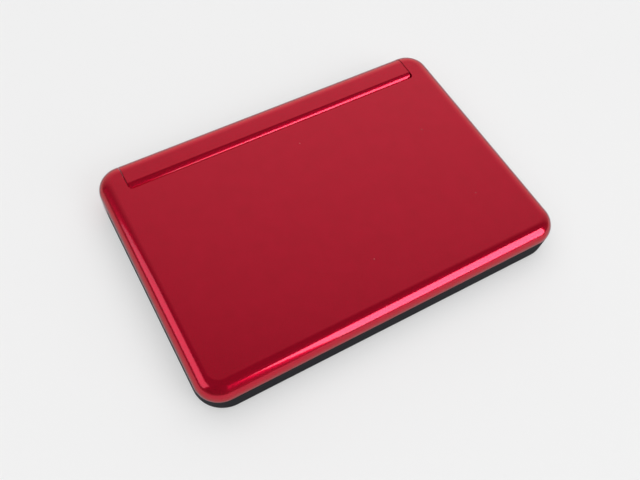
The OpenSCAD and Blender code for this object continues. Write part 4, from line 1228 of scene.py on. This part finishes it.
# %% Battery door
GROOVES, GROOVE_PITCH, GROOVE_L, GROOVE_W = 5, 1.5, 18, 0.7
GRIP_Y = CELL_Y - 2.4
GROOVE_DEEP, POINTER_DEEP = 0.3, 0.2
POINTER_SIZE, POINTER_X, POINTER_Y = 1.8, 14, CELL_Y + 0.6


def battery_door():
    """The sliding door with its tongues, its grip grooves and a pointer."""
    door = slab(0, FOOT_H, TOP_Z, LID_EDGE_R, BASE_EDGE_R)
    x0, x1 = BAY_X0 + SEAM, BAY_X1 - SEAM
    space = brick((x0, DOOR_Y + SEAM, BELOW), (x1, FAR, DOOR_TOP))
    carve(space, [
        brick((x0, DOOR_WALL_Y, BELOW), (x1, FAR, DOOR_WALL_TOP)),
        brick((x0 - TONGUE, TRACK_Y + SEAM, TRACK_Z + SEAM),
              (x1 + TONGUE, BACK_Y - BASE_EDGE_R - DOOR_TRAVEL, DOOR_TOP)),
    ], "UNION")
    carve(door, [space], "INTERSECT")
    soften(carve(door, [rod(BAY_X0, BAY_X1, BAY_R, CELL_Y, CELL_Z)]), 0.12)
    middle = (BAY_X0 + BAY_X1) / 2
    grip = []
    for i in range(GROOVES):
        y = GRIP_Y + GROOVE_PITCH * i
        grip.append(brick((middle - GROOVE_L / 2, y - GROOVE_W / 2, BELOW),
                          (middle + GROOVE_L / 2, y + GROOVE_W / 2, FOOT_H + GROOVE_DEEP)))
    pointer = triangle(0, POINTER_SIZE, middle + POINTER_X, POINTER_Y)
    grip.append(prism(pointer, BELOW, FOOT_H + POINTER_DEEP))
    return crisp(carve(door, grip))


dress("battery_door_moulded", battery_door(), BLACK, "battery_door", "black_case", "battery_door")


# %% [markdown]
# The card slot has a small flap, which turns on two pins at its foot. The foot is round, so
# that it can turn in its seat, and a notch at the top takes a fingernail. The pins join it
# after the bevel, which would make them too thin.

# %% Memory card door
NAIL_W, NAIL_D, NAIL_DEEP = 9.0, 1.0, 0.8


def memory_card_door():
    """The small flap over the card slot, with its pins and a notch for a fingernail."""
    thick, top = card_high[0] - card_low[0], card_high[2]
    y0, y1 = card_low[1] + CARD_PIN_L, card_high[1] - CARD_PIN_L
    x, z = card_low[0] + thick / 2, card_low[2] + thick / 2
    door = brick((card_low[0], y0, z), (card_high[0], y1, top))
    carve(door, [prism(circle(x, z, thick / 2, 32), y0, y1, "Y")], "UNION")
    notch = plate(NAIL_D, NAIL_W, 0.49, top - NAIL_DEEP, top + 1, card_low[0], (y0 + y1) / 2)
    soften(carve(door, [notch]), 0.1)
    return crisp(carve(door, [prism(circle(x, z, CARD_PIN_R, 32), card_low[1], card_high[1], "Y")], "UNION"))


dress("card_door_moulded", memory_card_door(), BLACK, "card_door", "black_case", "card_door")


# %% [markdown]
# The data socket is a pressed steel shell around a black tongue. The shell is a softened
# box with a smaller one cut out of it, which gives the round folds of pressed sheet without
# folding any.

# %% Data socket
SOCKET_WALL, SOCKET_R, SOCKET_SIDE = 0.3, 0.45, 1.4


def data_socket(wall=SOCKET_WALL):
    """Steel shell and black tongue of the data socket."""
    low, high = usb_low, usb_high
    room = brick(low + np.array([wall, wall, wall]), high + np.array([1, -wall, -wall]))
    shell = crisp(carve(soften(brick(low, high), SOCKET_R), [soften(room, wall)]))
    middle_z = (low[2] + high[2]) / 2
    tongue = brick((low[0] + wall, low[1] + SOCKET_SIDE, middle_z - 0.3),
                   (high[0] - wall, high[1] - SOCKET_SIDE, middle_z + 0.35))
    return shell, soften(tongue, 0.1)


socket_shell, socket_tongue = data_socket()
dress("data_socket_shell", socket_shell, STEEL, "base", "steel", "usb_socket")
dress("data_socket_tongue", socket_tongue, SATIN, "base", "black_case")


# %% [markdown]
# What stays inside the case keeps the shape that the mechanical model gives it, and each
# part gets the finish of the real one. Where a part has two finishes, such as a cell with
# a printed sleeve and steel ends, the place along the part chooses between them.

# %% Finishes that change along a part
def along_x(tree, where, low, high):
    """The place along X, from 0 at the low end of a part to 1 at its high end."""
    x = add_node(tree, "SeparateXYZ", where)["X"]
    return add_node(tree, "MapRange", x, From_Min=low * MM, From_Max=high * MM)[0]


def bands(tree, share, starts, colours):
    """Flat bands of colour, each from its start to the next one."""
    outputs = add_node(tree, "ValToRGB", share)
    ramp = outputs["Color"].node.color_ramp
    ramp.interpolation = "CONSTANT"
    while len(ramp.elements) < len(starts):
        ramp.elements.new(1.0)
    for element, start, colour in zip(ramp.elements, starts, colours):
        element.position = start
        element.color = linear(colour)
    return outputs["Color"]


def finish_node(material, *nodes):
    """Give nodes of the frame a finish and leave their shapes as they are."""
    for node in nodes:
        frame["nodes"][node].data.materials.clear()
        frame["nodes"][node].data.materials.append(material)
    print(material.name, "on", ", ".join(nodes))


# %% [markdown]
# A cell wears a printed sleeve that was shrunk on by heat, so it is glossy and faintly
# wrinkled. The stylus is grey ABS with a pale tip, which glides better, and a black head.

# %% Cells and stylus
CELL_CAP, BAND_START = 1.2, 0.72
WRINKLE_SIZE, WRINKLE_DEPTH = 1.5, 0.01
STYLUS_TIP, STYLUS_HEAD = 6.0, 1.6


def cell_sleeve(node):
    """Printed heat-shrink sleeve with a copper-coloured band, and nickel-plated steel ends."""
    low, high = box_mm(node)
    length = high[0] - low[0]
    material, tree, shader, where = new_material("heat_shrink_sleeve_" + node, Roughness=0.3)
    share = along_x(tree, where, low[0], high[0])
    starts = [0.0, CELL_CAP / length, BAND_START, 1 - (CELL_CAP + 1) / length]
    fill(shader, Base_Color=bands(tree, share, starts, ["#b9b8b4", "#1c1d20", "#a8693c", "#b9b8b4"]),
         Metallic=bands(tree, share, starts, ["#ffffff", "#000000", "#000000", "#ffffff"]))
    roughen(tree, shader, where, WRINKLE_SIZE, WRINKLE_DEPTH, strength=0.6)
    return material


def stylus_plastic():
    """Grey moulded ABS with a pale acetal tip, and a gloss black head that shows in the side."""
    material, tree, shader, where = new_material("grey_moulded_abs_and_acetal", Roughness=0.38, IOR=1.5)
    length = stylus_high[0] - stylus_low[0]
    share = along_x(tree, where, stylus_low[0], stylus_high[0])
    starts = [0.0, STYLUS_TIP / length, 1 - STYLUS_HEAD / length]
    fill(shader, Base_Color=bands(tree, share, starts, ["#d8d6cf", "#3c3c41", "#17171a"]))
    roughen(tree, shader, where, GRAIN, 0.003)
    return material


for cell in ("battery_left", "battery_right"):
    finish_node(cell_sleeve(cell), cell)
finish_node(stylus_plastic(), "stylus")


# %% [markdown]
# The boards are glass-fibre laminate under a green solder mask. The copper under the mask
# shows as slightly paler tracks, 1.3 mm apart on such a board. A brick pattern draws them:
# the long joints between its rows are the tracks. Chips are moulded epoxy, matt and almost
# black. The dome sheet is pale silicone rubber, and the flat cable is amber polyimide film.

# %% Boards and cables
TRACK_PITCH = 1.3
CABLE_PITCH = 0.5


def solder_mask():
    """Green solder mask on glass-fibre laminate, with paler tracks where copper lies under it."""
    material, tree, shader, where = new_material("green_solder_mask", Roughness=0.35, IOR=1.5)
    tracks = add_node(
        tree, "TexBrick", where, Scale=1 / (TRACK_PITCH * MM), Brick_Width=5.0, Row_Height=1.0,
        Mortar_Size=0.16, Color1="#174b32", Color2="#1b5538", Mortar="#3b8a5a")
    relief = add_node(tree, "Bump", Strength=0.5, Distance=0.03 * MM, Height=tracks["Fac"])
    fill(shader, Base_Color=tracks["Color"], Normal=relief[0])
    return material


def polyimide_cable():
    """Amber polyimide film over copper tracks, which give it fine stripes along its length."""
    material, tree, shader, where = new_material("amber_polyimide_film", Roughness=0.28, IOR=1.6)
    stripes = add_node(tree, "TexWave", where, wave_type="BANDS", bands_direction="X",
                       Scale=1 / (CABLE_PITCH * MM) / 20)
    tone = add_node(tree, "Mix", data_type="RGBA", Factor=stripes["Fac"], A="#8a4a14", B="#c98335")
    fill(shader, Base_Color=tone["Result"])
    return material


finish_node(solder_mask(), "main_board", "display_board")
finish_node(moulded("black_moulded_epoxy", "#1b1b1d", roughness=0.5, depth=0.006), "board_chips")
finish_node(moulded("pale_silicone_rubber", "#c4c6c2", roughness=0.55, depth=0.006), "dome_sheet")
finish_node(SATIN, "earphone_socket")


# %% [markdown]
# The flat cable from the base to the lid winds once round the right hinge pin. Opening the
# lid twists this coil. Here it is one sleeve of many rings round the pin, and a straight tail
# leaves each end of it.

# %% Display cable
CABLE_T, CABLE_W = 0.2, 4.0
COIL_ROWS, COIL_STEPS = 30, 64
tail_low, _ = box_mm("display_cable_base")
strip_low, strip_high = box_mm("display_cable_lid")
COIL_R = HINGE_Z - min(tail_low[2], strip_low[2])
COIL_X0, COIL_X1 = tail_low[0], strip_high[0]


def cable_coil():
    """A thin sleeve round the hinge pin, closed at both ends."""
    reach = [COIL_X0 + (COIL_X1 - COIL_X0) * i / COIL_ROWS for i in range(COIL_ROWS + 1)]
    path = [(x, COIL_R) for x in reach] + [(x, COIL_R - CABLE_T) for x in reach[::-1]]
    vertices = [(x, y, z) for x, r in path for y, z in circle(HINGE_Y, HINGE_Z, r, COIL_STEPS)]
    faces = []
    for i in range(len(path)):
        ring, following = i * COIL_STEPS, (i + 1) % len(path) * COIL_STEPS
        for k in range(COIL_STEPS):
            beside = (k + 1) % COIL_STEPS
            faces.append([ring + k, ring + beside, following + beside, following + k])
    return crisp(make_piece(vertices, faces))


def display_cable():
    """The coil between the bodies, and a tail on each."""
    film = polyimide_cable()
    coil = cable_coil()
    coil.name = "display_cable_coil"
    coil.data.materials.append(film)
    lid_x0, low_z, top = NOTCH_X + END_WALL, HINGE_Z - COIL_R, strip_high[2]
    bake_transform(coil)
    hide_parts("display_cable_base", "display_cable_lid")
    base_tail = brick((COIL_X0, tail_low[1], low_z), (BARREL_X - END_WALL - SEAM, HINGE_Y, low_z + CABLE_T))
    dress("display_cable_tail_base", crisp(base_tail), film, "base", "cable", "display_cable_base")
    front, back = strip_low[1], HINGE_Y - COIL_R + CABLE_T
    lid_tail = brick((lid_x0, HINGE_Y - COIL_R, HINGE_Z), (COIL_X1, back, top))
    carve(lid_tail, [
        brick((lid_x0, front, top - CABLE_T), (COIL_X1, back, top)),
        brick((strip_low[0], front, top - CABLE_T), (COIL_X1, front + CABLE_W, top)),
    ], "UNION")
    dress("display_cable_tail_lid", crisp(lid_tail), film, "lid", "cable", "display_cable_lid")
    print("cable coil faces", len(coil.data.polygons))


display_cable()


# %% [markdown]
# The speaker is a ribbed paper cone in a black frame. Both are worked out from the distance
# to its middle, so that the ribs are true rings and the frame starts where they end. The
# springs, plates, pins, brackets and arms are plated steel, as the screws are.

# %% Speaker and steel parts
RIB_PITCH = 1.2


def speaker_cone():
    """Grey pressed paper with ribs around the middle, in a black frame."""
    material, tree, shader, where = new_material("grey_pressed_paper", Roughness=0.8, Specular_IOR_Level=0.2)
    level = add_node(tree, "VectorMath", where, (1, 1, 0), operation="MULTIPLY")[0]
    middle = (SPEAKER_X * MM, SPEAKER_Y * MM, 0)
    reach = add_node(tree, "VectorMath", level, middle, operation="DISTANCE")["Value"]
    half = min(speaker_high[0] - speaker_low[0], speaker_high[1] - speaker_low[1]) / 2
    share = add_node(tree, "Math", reach, half * MM, operation="DIVIDE")[0]
    turns = add_node(tree, "Math", reach, 2 * math.pi / (RIB_PITCH * MM), operation="MULTIPLY")[0]
    ribs = add_node(tree, "Math", turns, operation="SINE")[0]
    relief = add_node(tree, "Bump", Strength=0.7, Distance=0.1 * MM, Height=ribs)
    fill(shader, Base_Color=bands(tree, share, [0.0, 0.35, 0.85], ["#3a3a3c", "#55555a", "#161618"]),
         Normal=relief[0])
    return material


finish_node(speaker_cone(), "speaker")
finish_node(STEEL, "battery_spring", "battery_plate", "hinge_bracket_left", "hinge_bracket_right",
            "hinge_washers", "hinge_pin_left", "hinge_pin_right", "hinge_arm_left", "hinge_arm_right",
            "card_socket", "bezel_screws")
